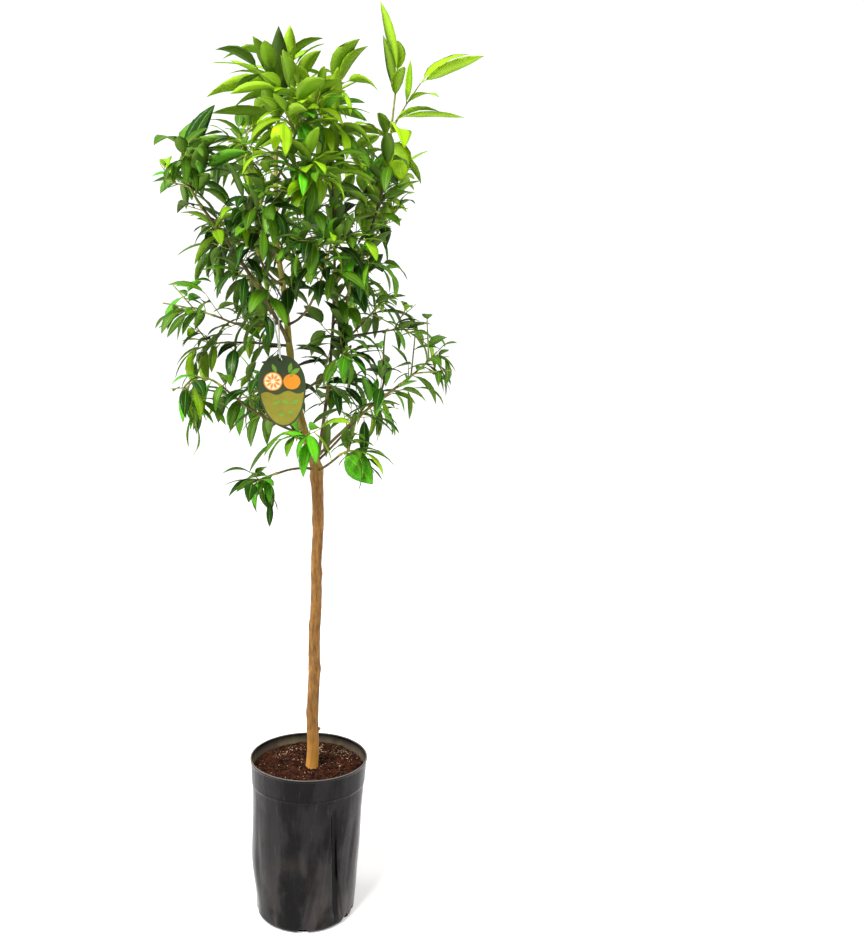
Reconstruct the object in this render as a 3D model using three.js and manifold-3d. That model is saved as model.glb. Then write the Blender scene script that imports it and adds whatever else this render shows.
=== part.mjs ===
import * as THREE from 'three';
import { mergeVertices } from 'three/addons/utils/BufferGeometryUtils.js';
import Module from 'manifold-3d';

// Potted mandarin orange tree, about 1.68 m tall, in a ten litre nursery pot.
// Millimetres, +Z up, the front towards -Y, the origin in the middle of the pot's flat underside.

const wasm = await Module();
wasm.setup();

// Pot: thin moulded plastic with a collar, a flat foot and drain notches round the foot
const POT_HEIGHT = 310;
const POT_RIM_RADIUS = 110;
const POT_FOOT_RADIUS = 93;
const POT_WALL = 2;
const POT_SIDES = 36;
const FOOT_ROUND = 10;
const COLLAR_HEIGHT = 47;
const COLLAR_STEP = 1.2;
const RIM_ROLL = 1.2;
const RIM_LIP = [5, 3.5];
const NOTCH_WIDTH = 9;
const NOTCH_HEIGHT = 7;
const NOTCH_HEADINGS = [-168, -93, -36, -18, 40, 92, 146];
// Heights at which the wall has a ring, from the foot to just under the collar
const WALL_HEIGHTS = [56, 112, 176];

// The soft wall bulges on the left and has a crease in front, right of the middle
const BULGE = { z: 112, heading: 182, depth: 6.5, tall: 62, wide: 46 };
const CREASE = { top: 238, bottom: 14, heading: -62, lean: 14, depth: 3.6, wide: 7 };

// Soil, mounded a little round the trunk
const SOIL_LEVEL = 286;
const SOIL_MOUND = 5;
const SOIL_BUMP = 2.4;
const SOIL_PAD = 22;
const SOIL_RING_SHARE = 0.6;
const SOIL_WALL_GAP = 1.5;
const SOIL_SEED = 5;

// Gap between neighbouring solids, and how much a limb is swollen where it cuts the next one
const GAP = 0.3;
const LIMB_CUT = 0.4;

// Trunk: height, sideways place and radius, from the soil to the tip of the leader
const TRUNK_SIDES = 10;
const TRUNK_STEPS = 2;
const TRUNK = [
  { z: SOIL_LEVEL, x: 6, radius: 14 },
  { z: 322, x: 6, radius: 11.2 },
  { z: 480, x: 5, radius: 11 },
  { z: 700, x: 6, radius: 9.7 },
  { z: 850, x: 3, radius: 11 },
  { z: 905, x: -15, radius: 7.8 },
  { z: 1033, x: -46, radius: 6.1 },
  { z: 1125, x: -56, radius: 5.3 },
  { z: 1265, x: -77, radius: 4.3 },
  { z: 1360, x: -81, radius: 3.9 },
  { z: 1440, x: -80, radius: 3.4 },
];

// Stub of a dead twig low on the right of the trunk
const STUB = { z: 344, heading: -8, rise: 60, length: 26, foot: 3.6, tip: 2.4 };

// Boughs: the limb each leaves and at what height, the heading and rise that it starts with and
// ends with, its length, and its radius at the foot and the tip. Angles are in degrees: heading 0
// is to the right and 90 to the back, and rise is measured up from level.
const BOUGH_SIDES = 6;
const BOUGH_STEP = 38;
const BOUGHS = {
  centre_bough: bough('trunk', 862, [45, 77], [-126, 80], 531, 3.4, 2.3),
  upper_left_bough: bough('trunk', 1092, [-121, 45], [-183, 51], 279, 3.7, 2.4),
  left_upper_bough: bough('trunk', 1245, [148, 24], [174, 3], 73, 2.4, 2),
  left_mid_bough: bough('trunk', 1132, [-159, -25], [-178, 25], 130, 2.4, 1.8),
  left_inner_bough: bough('trunk', 1085, [144, 4], [196, -2], 112, 2.4, 1.9),
  left_low_bough: bough('trunk', 925, [-150, 16], [-170, 41], 177, 2.4, 2),
  low_left_bough: bough('trunk', 862, [-151, 13], [-175, -22], 73, 2.4, 2),
  right_low_bough: bough('trunk', 878, [-23, 49], [-9, 37], 211, 2.9, 2.1),
  right_foot_bough: bough('trunk', 858, [-61, 20], [-46, 37], 79, 2.4, 2),
  right_rise_bough: bough('right_low_bough', 980, [47, 26], [202, 79], 101, 2.2, 1.8),
  right_mid_bough: bough('centre_bough', 1128, [-58, 23], [-88, 42], 90, 2.4, 2),
  right_twig_bough: bough('centre_bough', 1100, [13, 12], [-8, 10], 93, 2.3, 1.8),
  right_upper_bough: bough('centre_bough', 1168, [-22, 55], [-21, 87], 304, 2.7, 2.1),
  right_high_bough: bough('centre_bough', 1204, [35, 42], [-6, 52], 112, 2.4, 2),
  centre_front_bough: bough('trunk', 1122, [-53, 12], [-61, 55], 109, 2.4, 2),
  left_front_bough: bough('trunk', 1192, [-127, 13], [-107, 45], 92, 2.4, 2),
  low_front_bough: bough('trunk', 868, [-102, 21], [-104, 58], 65, 2.4, 2),
  high_front_bough: bough('centre_bough', 1278, [-121, 16], [-110, 46], 96, 2.4, 2),
  crest_front_bough: bough('trunk', 1372, [-69, 24], [-47, 62], 87, 2.4, 2),
  back_high_right_bough: bough('centre_bough', 1262, [54, 38], [54, 50], 104, 2.4, 2),
  back_low_left_bough: bough('trunk', 898, [126, 32], [137, 41], 125, 2.4, 2),
  back_low_right_bough: bough('trunk', 872, [49, 29], [45, 39], 134, 2.4, 2),
  back_mid_left_bough: bough('trunk', 1148, [121, 22], [123, 30], 110, 2.4, 2),
  back_mid_right_bough: bough('centre_bough', 1082, [50, 22], [53, 35], 110, 2.4, 2),
  back_centre_bough: bough('trunk', 1232, [71, 22], [67, 44], 103, 2.4, 2),
  back_high_left_bough: bough('trunk', 1336, [124, 26], [127, 45], 94, 2.4, 2),
  inner_low_bough: bough('trunk', 1000, [-22, 24], [-38, 44], 84, 2.4, 2),
};

// Masses of foliage. Each grows on from the tip of a limb: stem gives the stem's length and the
// heading and rise it ends with, twigs how many leave it, how long they are and how much they
// lift, leaves how many stand on the stem and on each twig and how long they are, habit how much
// they sag and curl, and room how far they may reach and how much space the mass takes from its
// neighbours. The leaves under placed are set by hand: where they show most, they have the
// place along the stem, heading, rise, curl, roll, length and width share of the real ones.
const MASSES = {
  crest: {
    limb: 'trunk', seed: 5, stem: [128, 0, 78], twigs: [4, 62, 0.2],
    leaves: [8, 4, 98], habit: [6, 26], room: [240, 70],
    placed: [
      [0.95, 172, 30, 44, 20, 122, 0.29],
      [0.86, 170, 14, 12, -25, 136, 0.26],
      [0.7, 190, 0, 24, 35, 136, 0.27],
      [0.34, 184, 4, 14, 25, 118, 0.24],
      [0.45, -96, 78, 4, 6, 128, 0.29],
      [1, 60, 36, 6, 0, 84, 0.36],
    ],
  },
  crest_front: {
    limb: 'crest_front_bough', seed: 63, stem: [60, 0, 50], twigs: [4, 54, 0.1],
    leaves: [7, 4, 84], habit: [14, 28], room: [180, 50],
    placed: [
      [1, -100, 8, 26, 10, 84, 0.36],
      [0.1, 200, -6, 30, -35, 66, 0.34],
    ],
  },
  crest_right: {
    limb: 'centre_bough', seed: 43, stem: [132, 185, 66], twigs: [4, 62, 0.1],
    leaves: [8, 4, 88], habit: [14, 28], room: [200, 60],
    placed: [
      [0.9, 0, 34, 6, 20, 96, 0.28],
      [0.7, -16, 24, 50, -20, 88, 0.26],
      [0.45, -12, -16, 22, -20, 74, 0.27],
      [0.2, -16, -20, 26, 20, 104, 0.22],
    ],
  },
  back_high_right: {
    limb: 'back_high_right_bough', seed: 17, stem: [110, 70, 74], twigs: [4, 64, 0.1],
    leaves: [6, 3, 84], habit: [16, 28], room: [190, 34],
  },
  top_right: {
    limb: 'right_upper_bough', seed: 53, stem: [112, 30, 84], twigs: [0, 78, 0.5],
    leaves: [3, 3, 104], habit: [4, 22], room: [280, 10],
    placed: [
      [1, 170, 77, 6, 30, 124, 0.28],
      [0.66, 160, 78, 4, 60, 106, 0.19],
      [0.06, -70, 8, 66, -20, 80, 0.52],
    ],
    side: { share: 0.1, heading: -24, rise: 52, length: 96 },
    onSide: [
      [1, -14, 28, 10, -20, 118, 0.26],
      [0.55, 70, 80, 6, 60, 82, 0.2],
      [0.3, -8, 8, 12, -10, 116, 0.23],
    ],
  },
  right_high: {
    limb: 'right_high_bough', seed: 62, stem: [64, 20, 66], twigs: [4, 60, 0.1],
    leaves: [7, 4, 72], habit: [16, 28], room: [170, 20],
  },
  right_inner_high: {
    limb: 'right_mid_bough', seed: 42, stem: [90, 60, 78], twigs: [4, 62, 0],
    leaves: [6, 4, 72], habit: [22, 32], room: [170, 14],
  },
  upper_left: {
    limb: 'upper_left_bough', seed: 55, stem: [104, 90, 84], twigs: [4, 56, 0.1],
    leaves: [7, 4, 84], habit: [12, 30], room: [190, 50],
    placed: [
      [0.7, 20, 72, 14, 70, 118, 0.25],
    ],
  },
  left_upper: {
    limb: 'left_upper_bough', seed: 52, stem: [60, 170, 30], twigs: [4, 58, 0],
    leaves: [6, 4, 76], habit: [26, 32], room: [160, 26],
  },
  left_mid: {
    limb: 'left_mid_bough', seed: 41, stem: [92, 180, 6], twigs: [4, 64, 0],
    leaves: [9, 4, 62], habit: [38, 22], room: [150, 0],
  },
  left_inner: {
    limb: 'left_inner_bough', seed: 40, stem: [76, 184, -34], twigs: [4, 60, 0],
    leaves: [8, 3, 66], habit: [34, 26], room: [140, 0],
  },
  left_low: {
    limb: 'left_low_bough', seed: 69, stem: [104, 200, -80], twigs: [4, 64, -0.3],
    leaves: [7, 3, 70], habit: [34, 26], room: [160, 0],
  },
  low_left: {
    limb: 'low_left_bough', seed: 24, stem: [46, 190, -24], twigs: [2, 50, 0],
    leaves: [6, 3, 68], habit: [30, 26], room: [140, 0],
  },
  right_low: {
    limb: 'right_low_bough', seed: 47, stem: [92, 5, 48], twigs: [4, 72, 0],
    leaves: [8, 3, 68], habit: [30, 28], room: [180, 0],
  },
  right_foot: {
    limb: 'right_foot_bough', seed: 39, stem: [46, -20, -10], twigs: [3, 48, 0.3],
    leaves: [5, 3, 64], habit: [16, 26], room: [150, 0],
    placed: [
      [0.6, -28, -8, 44, -10, 82, 0.36],
    ],
  },
  right_rise: {
    limb: 'right_rise_bough', seed: 45, stem: [56, 60, 74], twigs: [4, 60, 0.1],
    leaves: [7, 3, 66], habit: [26, 30], room: [150, 0],
  },
  right_twig: {
    limb: 'right_twig_bough', seed: 46, stem: [62, -10, 0], twigs: [3, 56, 0],
    leaves: [7, 3, 62], habit: [28, 28], room: [140, 0],
  },
  centre_front: {
    limb: 'centre_front_bough', seed: 43, stem: [104, -60, 78], twigs: [4, 64, 0],
    leaves: [8, 4, 76], habit: [22, 30], room: [170, 24],
  },
  left_front: {
    limb: 'left_front_bough', seed: 40, stem: [96, 200, 78], twigs: [4, 64, 0],
    leaves: [8, 4, 76], habit: [26, 32], room: [170, 30],
  },
  low_front: {
    limb: 'low_front_bough', seed: 23, stem: [40, -80, 40], twigs: [3, 50, 0],
    leaves: [7, 3, 68], habit: [24, 28], room: [140, 0],
  },
  high_front: {
    limb: 'high_front_bough', seed: 21, stem: [80, -100, 60], twigs: [4, 62, 0],
    leaves: [8, 4, 78], habit: [20, 30], room: [170, 40],
  },
  back_low_left: {
    limb: 'back_low_left_bough', seed: 61, stem: [84, 130, 14], twigs: [4, 66, -0.1],
    leaves: [6, 3, 68], habit: [28, 28], room: [160, 0],
  },
  back_low_right: {
    limb: 'back_low_right_bough', seed: 43, stem: [84, 48, 16], twigs: [4, 66, -0.1],
    leaves: [6, 3, 68], habit: [28, 28], room: [160, 0],
  },
  back_mid_left: {
    limb: 'back_mid_left_bough', seed: 55, stem: [88, 118, 36], twigs: [4, 66, 0],
    leaves: [6, 3, 76], habit: [26, 30], room: [170, 10],
  },
  back_mid_right: {
    limb: 'back_mid_right_bough', seed: 55, stem: [88, 50, 34], twigs: [4, 66, 0],
    leaves: [6, 3, 76], habit: [26, 30], room: [170, 10],
  },
  back_centre: {
    limb: 'back_centre_bough', seed: 19, stem: [110, 95, 60], twigs: [4, 66, 0],
    leaves: [6, 3, 76], habit: [22, 30], room: [170, 20],
  },
  back_high_left: {
    limb: 'back_high_left_bough', seed: 19, stem: [100, 120, 72], twigs: [4, 66, 0.1],
    leaves: [6, 3, 84], habit: [16, 28], room: [190, 34],
  },
  inner_low: {
    limb: 'inner_low_bough', seed: 62, stem: [56, 10, 40], twigs: [4, 56, 0],
    leaves: [8, 4, 70], habit: [28, 28], room: [150, 0],
  },
};

// Growth rule. Lengths are in millimetres, angles in degrees, turns and falls in radians,
// shares from 0 to 1. A pair is a range that the rule draws from, or a first and a last value.
const GOLDEN_ANGLE = 137.5;
const STEM_STEPS = 4;
const TWIG_STEPS = 2;
const STEM_TIP = 1.3;
const TWIG_RADIUS = [1.6, 1.1];
const TWIG_THICKEST = 0.7;
const TWIG_SPAN = [0.18, 0.8];
const TWIG_STAGGER = [0.1, 0.9];
const TWIG_ANGLE = [42, 68];
const TWIG_LENGTHS = [0.8, 1.2];
const TWIG_TURNS = [-0.5, 0.5];
const STEM_LEAVES_FROM = 0.22;
const TWIG_LEAVES_FROM = 0.3;
const SIDE_LEAVES_FROM = 0.6;
const SIDE_LEAVES = 2;
const LEAF_ANGLE = [42, 70];
const END_LEAF_ANGLE = [10, 25];
const LEAF_TURNS = [-0.35, 0.35];
const LEAF_LENGTHS = [0.78, 1.14];
const LEAF_WIDTHS = [0.85, 1.2];
const LEAF_SAGS = [0.6, 1.3];
const LEAF_CURLS = [0.5, 1.5];
const LEAF_ROLLS = [-35, 35];
const STEEPEST_FALL = -1.35;
const LEAF_WIDTH = 0.28;
const LEAF_WIDEST = 0.45;
const LEAF_KEEL = 0.026;
const LEAF_SUNK = 0.4;
const LEAF_SPREAD = 0.2;
const TURN_OF_RETRY = 1.1;
const TRIES = 6;
const PETIOLE = 0.12;
const CELL_GAP = 3.2;
const LEAF_LIMB_GAP = 4;
const TWIG_LIMB_GAP = 6;
const PLACES_ALONG = [0.12, 0.25, 0.38, 0.5, 0.62, 0.74, 0.87, 1];
const PLACES_ACROSS = [-1, -0.5, 0, 0.5, 1];

// Outline of the crown: how far it reaches to the left and to the right at each height
const CROWN_OUTLINE = [
  { z: 750, left: -80, right: 30 },
  { z: 820, left: -160, right: 40 },
  { z: 870, left: -230, right: 134 },
  { z: 930, left: -230, right: 220 },
  { z: 1000, left: -258, right: 246 },
  { z: 1100, left: -272, right: 254 },
  { z: 1150, left: -276, right: 200 },
  { z: 1220, left: -250, right: 136 },
  { z: 1270, left: -222, right: 124 },
  { z: 1340, left: -282, right: 164 },
  { z: 1430, left: -252, right: 196 },
  { z: 1470, left: -222, right: 204 },
  { z: 1478, left: -220, right: 276 },
  { z: 1620, left: -190, right: 276 },
  { z: 1690, left: -10, right: 130 },
];

// Hang tag, egg-shaped and wide end up, in front of the leader, and the strap that holds it.
// Nothing grows in the space before it.
const TAG = { width: 84, height: 127, thickness: 0.8, tilt: 5 };
const TAG_WIDEST = 0.6;
const TAG_POINTS = 30;
const TAG_HOLE = { x: -67, y: -37, z: 1061, radius: 3.5, below_top: 8, seat: 2.6 };
const CLEAR_VIEW = { left: -104, right: -14, bottom: 938, top: 1070, behind: -30 };
const STRAP = { width: 3, thickness: 0.6, half_span: 6.2, crown: 8.6, bough_share: 0.2 };
const STRAP_ARC_STEPS = 6;

const COLOURS = {
  pot: 0x2b2a26,
  soil: 0x4a3024,
  bark: 0x8a6a45,
  young_leaf: 0xa6cc2e,
  leaf: 0x4f9430,
  tag: 0x4d7a2c,
  strap: 0xd8dccb,
};

function bough(parent, z, start, end, length, foot, tip) {
  return { parent, z, start, end, length, foot, tip };
}

const radians = THREE.MathUtils.degToRad;
const lerp = THREE.MathUtils.lerp;

function vector(x, y, z) {
  return new THREE.Vector3(x, y, z);
}

// Direction with a heading and a rise, both in radians
function pointing(heading, rise) {
  const level = Math.cos(rise);
  return vector(level * Math.cos(heading), level * Math.sin(heading), Math.sin(rise));
}

// Seeded draws: each call gives the next number between low and high
function drawsFrom(seed) {
  let state = Math.imul(seed, 2654435761) >>> 0;
  return (low, high) => {
    state = (Math.imul(state, 1664525) + 1013904223) >>> 0;
    return low + (high - low) * state / 4294967296;
  };
}

// Solids: a closed geometry becomes a solid that can be joined and cut, and back
function solidOf(geometry) {
  geometry.deleteAttribute('normal');
  geometry.deleteAttribute('uv');
  const merged = mergeVertices(geometry, 1e-4);
  return new wasm.Manifold(new wasm.Mesh({
    numProp: 3,
    vertProperties: new Float32Array(merged.attributes.position.array),
    triVerts: new Uint32Array(merged.index.array),
  }));
}

function geometryOf(solid) {
  const mesh = solid.getMesh();
  const geometry = new THREE.BufferGeometry();
  geometry.setAttribute('position', new THREE.BufferAttribute(mesh.vertProperties, 3));
  geometry.setIndex(new THREE.BufferAttribute(mesh.triVerts, 1));
  geometry.computeVertexNormals();
  return geometry;
}

// Largest connected piece, without loose scraps and sealed hollows
function largestPiece(solid) {
  const pieces = solid.decompose();
  return pieces.reduce((best, piece) => (piece.volume() > best.volume() ? piece : best));
}

// Closed skin over a row of rings with the same number of points, with flat ends
function skin(rings) {
  const count = rings[0].length;
  const positions = rings.flat().flatMap((point) => [point.x, point.y, point.z]);
  const index = [];
  for (let ring = 0; ring < rings.length - 1; ring += 1) {
    for (let side = 0; side < count; side += 1) {
      const a = ring * count + side;
      const b = ring * count + (side + 1) % count;
      index.push(a, b, b + count, a, b + count, a + count);
    }
  }
  const last = (rings.length - 1) * count;
  const order = [];
  for (let step = 0; step < count; step += 1) {
    order.push(step % 2 === 0 ? step / 2 : count - (step + 1) / 2);
  }
  for (let step = 0; step < count - 2; step += 1) {
    const [a, b, c] = order.slice(step, step + 3);
    const turned = step % 2 === 0 ? [a, b, c] : [a, c, b];
    index.push(...turned);
    index.push(last + turned[0], last + turned[2], last + turned[1]);
  }
  const geometry = new THREE.BufferGeometry();
  geometry.setAttribute('position', new THREE.Float32BufferAttribute(positions, 3));
  geometry.setIndex(index);
  return geometry;
}

// Tube along a path of points, with a radius at each point
function tube(points, radii, sides) {
  const rings = [];
  let across = null;
  points.forEach((point, place) => {
    const before = points[Math.max(place - 1, 0)];
    const after = points[Math.min(place + 1, points.length - 1)];
    const along = after.clone().sub(before).normalize();
    if (across === null) {
      const aside = Math.abs(along.z) > 0.9 ? vector(1, 0, 0) : vector(0, 0, 1);
      across = aside.cross(along).normalize();
    }
    across = across.clone().addScaledVector(along, -across.dot(along)).normalize();
    const third = along.clone().cross(across);
    const ring = [];
    for (let side = 0; side < sides; side += 1) {
      const turn = 2 * Math.PI * side / sides;
      ring.push(point.clone()
        .addScaledVector(across, radii[place] * Math.cos(turn))
        .addScaledVector(third, radii[place] * Math.sin(turn)));
    }
    rings.push(ring);
  });
  return skin(rings);
}

// Limb paths: points with radii. The trunk is a smooth curve through its list, and a shoot turns
// evenly from its first direction to its last.
function shootPath(start, first, last, length, steps) {
  const points = [start];
  const headings = [];
  for (let step = 0; step < steps; step += 1) {
    const share = (step + 0.5) / steps;
    const heading = first.clone().multiplyScalar(1 - share).addScaledVector(last, share).normalize();
    headings.push(heading);
    points.push(points[step].clone().addScaledVector(heading, length / steps));
  }
  return { points, headings };
}

function smoothed(values, steps) {
  const padded = [2 * values[0] - values[1], ...values, 2 * values.at(-1) - values.at(-2)];
  const smooth = [];
  for (let span = 0; span < values.length - 1; span += 1) {
    const [a, b, c, d] = padded.slice(span, span + 4);
    for (let step = 0; step < steps; step += 1) {
      const t = step / steps;
      smooth.push(0.5 * (2 * b + (c - a) * t + (2 * a - 5 * b + 4 * c - d) * t * t
        + (3 * b - a - 3 * c + d) * t * t * t));
    }
  }
  smooth.push(values.at(-1));
  return smooth;
}

function trunkPath() {
  const heights = smoothed(TRUNK.map((ring) => ring.z), TRUNK_STEPS);
  const places = smoothed(TRUNK.map((ring) => ring.x), TRUNK_STEPS);
  const radii = smoothed(TRUNK.map((ring) => ring.radius), TRUNK_STEPS);
  return { points: heights.map((z, place) => vector(places[place], 0, z)), radii };
}

function pointAtHeight(path, z) {
  const above = path.points.findIndex((point) => point.z >= z);
  const low = path.points[above - 1];
  const high = path.points[above];
  return low.clone().lerp(high, (z - low.z) / (high.z - low.z));
}

function boughPath(bough, parentPath) {
  const steps = Math.max(3, Math.round(bough.length / BOUGH_STEP));
  const first = pointing(...bough.start.map(radians));
  const last = pointing(...bough.end.map(radians));
  const start = pointAtHeight(parentPath, bough.z);
  const { points } = shootPath(start, first, last, bough.length, steps);
  return { points, radii: points.map((_, place) => lerp(bough.foot, bough.tip, place / steps)) };
}

const paths = { trunk: trunkPath() };
for (const [name, limb] of Object.entries(BOUGHS)) {
  paths[name] = boughPath(limb, paths[limb.parent]);
}

const limbSegments = Object.values(paths).flatMap(({ points, radii }) => (
  points.slice(1).map((end, place) => ({
    start: points[place],
    along: end.clone().sub(points[place]),
    foot: radii[place],
    tip: radii[place + 1],
  }))
));

// Stems of the masses, each 0.3 mm past the tip of its limb, and the points that hold its space
function stemOf(mass) {
  const { points, radii } = paths[mass.limb];
  const direction = points.at(-1).clone().sub(points.at(-2)).normalize();
  const start = points.at(-1).clone().addScaledVector(direction, GAP);
  const [length, heading, rise] = mass.stem;
  const end = pointing(radians(heading), radians(rise));
  return { ...shootPath(start, direction, end, length, STEM_STEPS), foot: radii.at(-1) };
}

const stems = Object.fromEntries(
  Object.entries(MASSES).map(([name, mass]) => [name, stemOf(mass)]),
);
const spaces = Object.entries(MASSES).map(([name, mass]) => ({
  name,
  holders: [0, 2, STEM_STEPS].map((place) => stems[name].points[place]),
  spread: mass.room[1],
}));

// How much nearer a point is to the mass's own stem than to any other
function roomAround(point, name) {
  let own = Infinity;
  let other = Infinity;
  for (const space of spaces) {
    const nearest = Math.min(...space.holders.map((holder) => holder.distanceTo(point)));
    if (space.name === name) {
      own = nearest - space.spread;
    } else {
      other = Math.min(other, nearest - space.spread);
    }
  }
  return other - own;
}

function limbClearance(point) {
  let clearance = Infinity;
  const offset = vector(0, 0, 0);
  for (const { start, along, foot, tip } of limbSegments) {
    offset.copy(point).sub(start);
    const share = Math.min(1, Math.max(0, offset.dot(along) / along.lengthSq()));
    offset.addScaledVector(along, -share);
    clearance = Math.min(clearance, offset.length() - lerp(foot, tip, share));
  }
  return clearance;
}

function hidesTag({ x, y, z }) {
  const inFront = y < CLEAR_VIEW.behind;
  const inWidth = x > CLEAR_VIEW.left && x < CLEAR_VIEW.right;
  return inFront && inWidth && z > CLEAR_VIEW.bottom && z < CLEAR_VIEW.top;
}

function insideOutline({ x, z }) {
  const last = CROWN_OUTLINE.length - 1;
  const above = CROWN_OUTLINE.findIndex((row) => row.z > z);
  const place = above === -1 ? last : Math.max(above, 1);
  const [low, high] = CROWN_OUTLINE.slice(place - 1, place + 1);
  const share = THREE.MathUtils.clamp((z - low.z) / (high.z - low.z), 0, 1);
  return x > lerp(low.left, high.left, share) && x < lerp(low.right, high.right, share);
}

// Direction tilted away from another by an angle, towards a turn round it
function tilted(direction, angle, turn) {
  const aside = Math.abs(direction.z) > 0.9 ? vector(1, 0, 0) : vector(0, 0, 1);
  const across = direction.clone().cross(aside).normalize();
  const third = direction.clone().cross(across);
  return direction.clone().multiplyScalar(Math.cos(angle))
    .addScaledVector(across, Math.sin(angle) * Math.cos(turn))
    .addScaledVector(third, Math.sin(angle) * Math.sin(turn));
}

function placeOn(shoot, share) {
  const steps = shoot.headings.length;
  const along = Math.min(share * steps, steps - 1e-9);
  const step = Math.floor(along);
  const point = shoot.points[step].clone().lerp(shoot.points[step + 1], along - step);
  return { point, heading: shoot.headings[step] };
}

// Leaf: root, middle where it is widest, tip, and the direction across it
function leafFrom(root, heading, rise, curl, roll, length, width) {
  const first = pointing(heading, rise);
  const last = pointing(heading, rise - curl);
  const middle = root.clone().addScaledVector(first, LEAF_WIDEST * length);
  const tip = middle.clone().addScaledVector(last, (1 - LEAF_WIDEST) * length);
  const level = vector(-Math.sin(heading), Math.cos(heading), 0);
  const side = level.clone().multiplyScalar(Math.cos(roll))
    .addScaledVector(first.clone().cross(level), Math.sin(roll));
  const leaf = { root, middle, tip, side, first, length, width: width * length };
  return { ...leaf, ...facesOf(leaf) };
}

function pointsOver(leaf) {
  return PLACES_ALONG.flatMap((share) => {
    const nearRoot = share <= LEAF_WIDEST;
    const part = nearRoot ? share / LEAF_WIDEST : (share - LEAF_WIDEST) / (1 - LEAF_WIDEST);
    const centre = nearRoot
      ? leaf.root.clone().lerp(leaf.middle, part)
      : leaf.middle.clone().lerp(leaf.tip, part);
    const half = leaf.width / 2 * (nearRoot ? part : 1 - part);
    return PLACES_ACROSS.map((place) => centre.clone().addScaledVector(leaf.side, place * half));
  });
}

// Two flat halves of a leaf past its petiole, and their edges
function facesOf({ root, middle, tip, side, width }) {
  const base = root.clone().lerp(middle, PETIOLE / LEAF_WIDEST);
  const left = middle.clone().addScaledVector(side, -width / 2);
  const right = middle.clone().addScaledVector(side, width / 2);
  const faces = [[base, left, right], [left, right, tip]];
  return { faces, edges: [[base, left], [base, right], [left, right], [left, tip], [right, tip]] };
}

function pierces([start, end], [a, b, c]) {
  const along = end.clone().sub(start);
  const ray = new THREE.Ray(start, along.clone().normalize());
  const hit = ray.intersectTriangle(a, b, c, false, vector(0, 0, 0));
  return hit !== null && hit.distanceToSquared(start) <= along.lengthSq();
}

function meet(edges, faces) {
  return edges.some((edge) => faces.some((face) => pierces(edge, face)));
}

// A leaf stands where it keeps off its fellows, the wood, the tag and other masses' space
function fits(leaf, name, centre, grown, wood) {
  for (const other of grown) {
    const apart = (LEAF_SPREAD * Math.min(leaf.length, other.length)) ** 2;
    const alike = Math.min(
      leaf.middle.distanceToSquared(other.middle),
      leaf.tip.distanceToSquared(other.tip),
      2 * leaf.middle.distanceToSquared(other.tip),
      2 * leaf.tip.distanceToSquared(other.middle),
    );
    if (alike < apart) {
      return false;
    }
  }
  if (meet(wood, leaf.faces) || grown.some((other) => (
    meet(leaf.edges, other.faces) || meet(other.edges, leaf.faces)
  ))) {
    return false;
  }
  const over = pointsOver(leaf);
  const pastPetiole = over.slice(PLACES_ACROSS.length);
  return over.every((point) => (
    point.distanceTo(centre) <= MASSES[name].room[0]
    && !hidesTag(point)
    && insideOutline(point)
    && roomAround(point, name) >= CELL_GAP
  )) && pastPetiole.every((point) => limbClearance(point) >= LEAF_LIMB_GAP);
}

function twigFits(twig, name) {
  const ends = twig.points.slice(1);
  const middles = ends.map((point, place) => point.clone().add(twig.points[place]).divideScalar(2));
  return [...ends, ...middles.slice(1)].every((point) => (
    roomAround(point, name) >= CELL_GAP
    && limbClearance(point) >= TWIG_LIMB_GAP
    && !hidesTag(point)
    && insideOutline(point)
  ));
}

function leafByHand(shoot, [share, heading, rise, curl, roll, length, width]) {
  const angles = [heading, rise, curl, roll].map(radians);
  return leafFrom(placeOn(shoot, share).point, ...angles, length, width);
}

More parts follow.
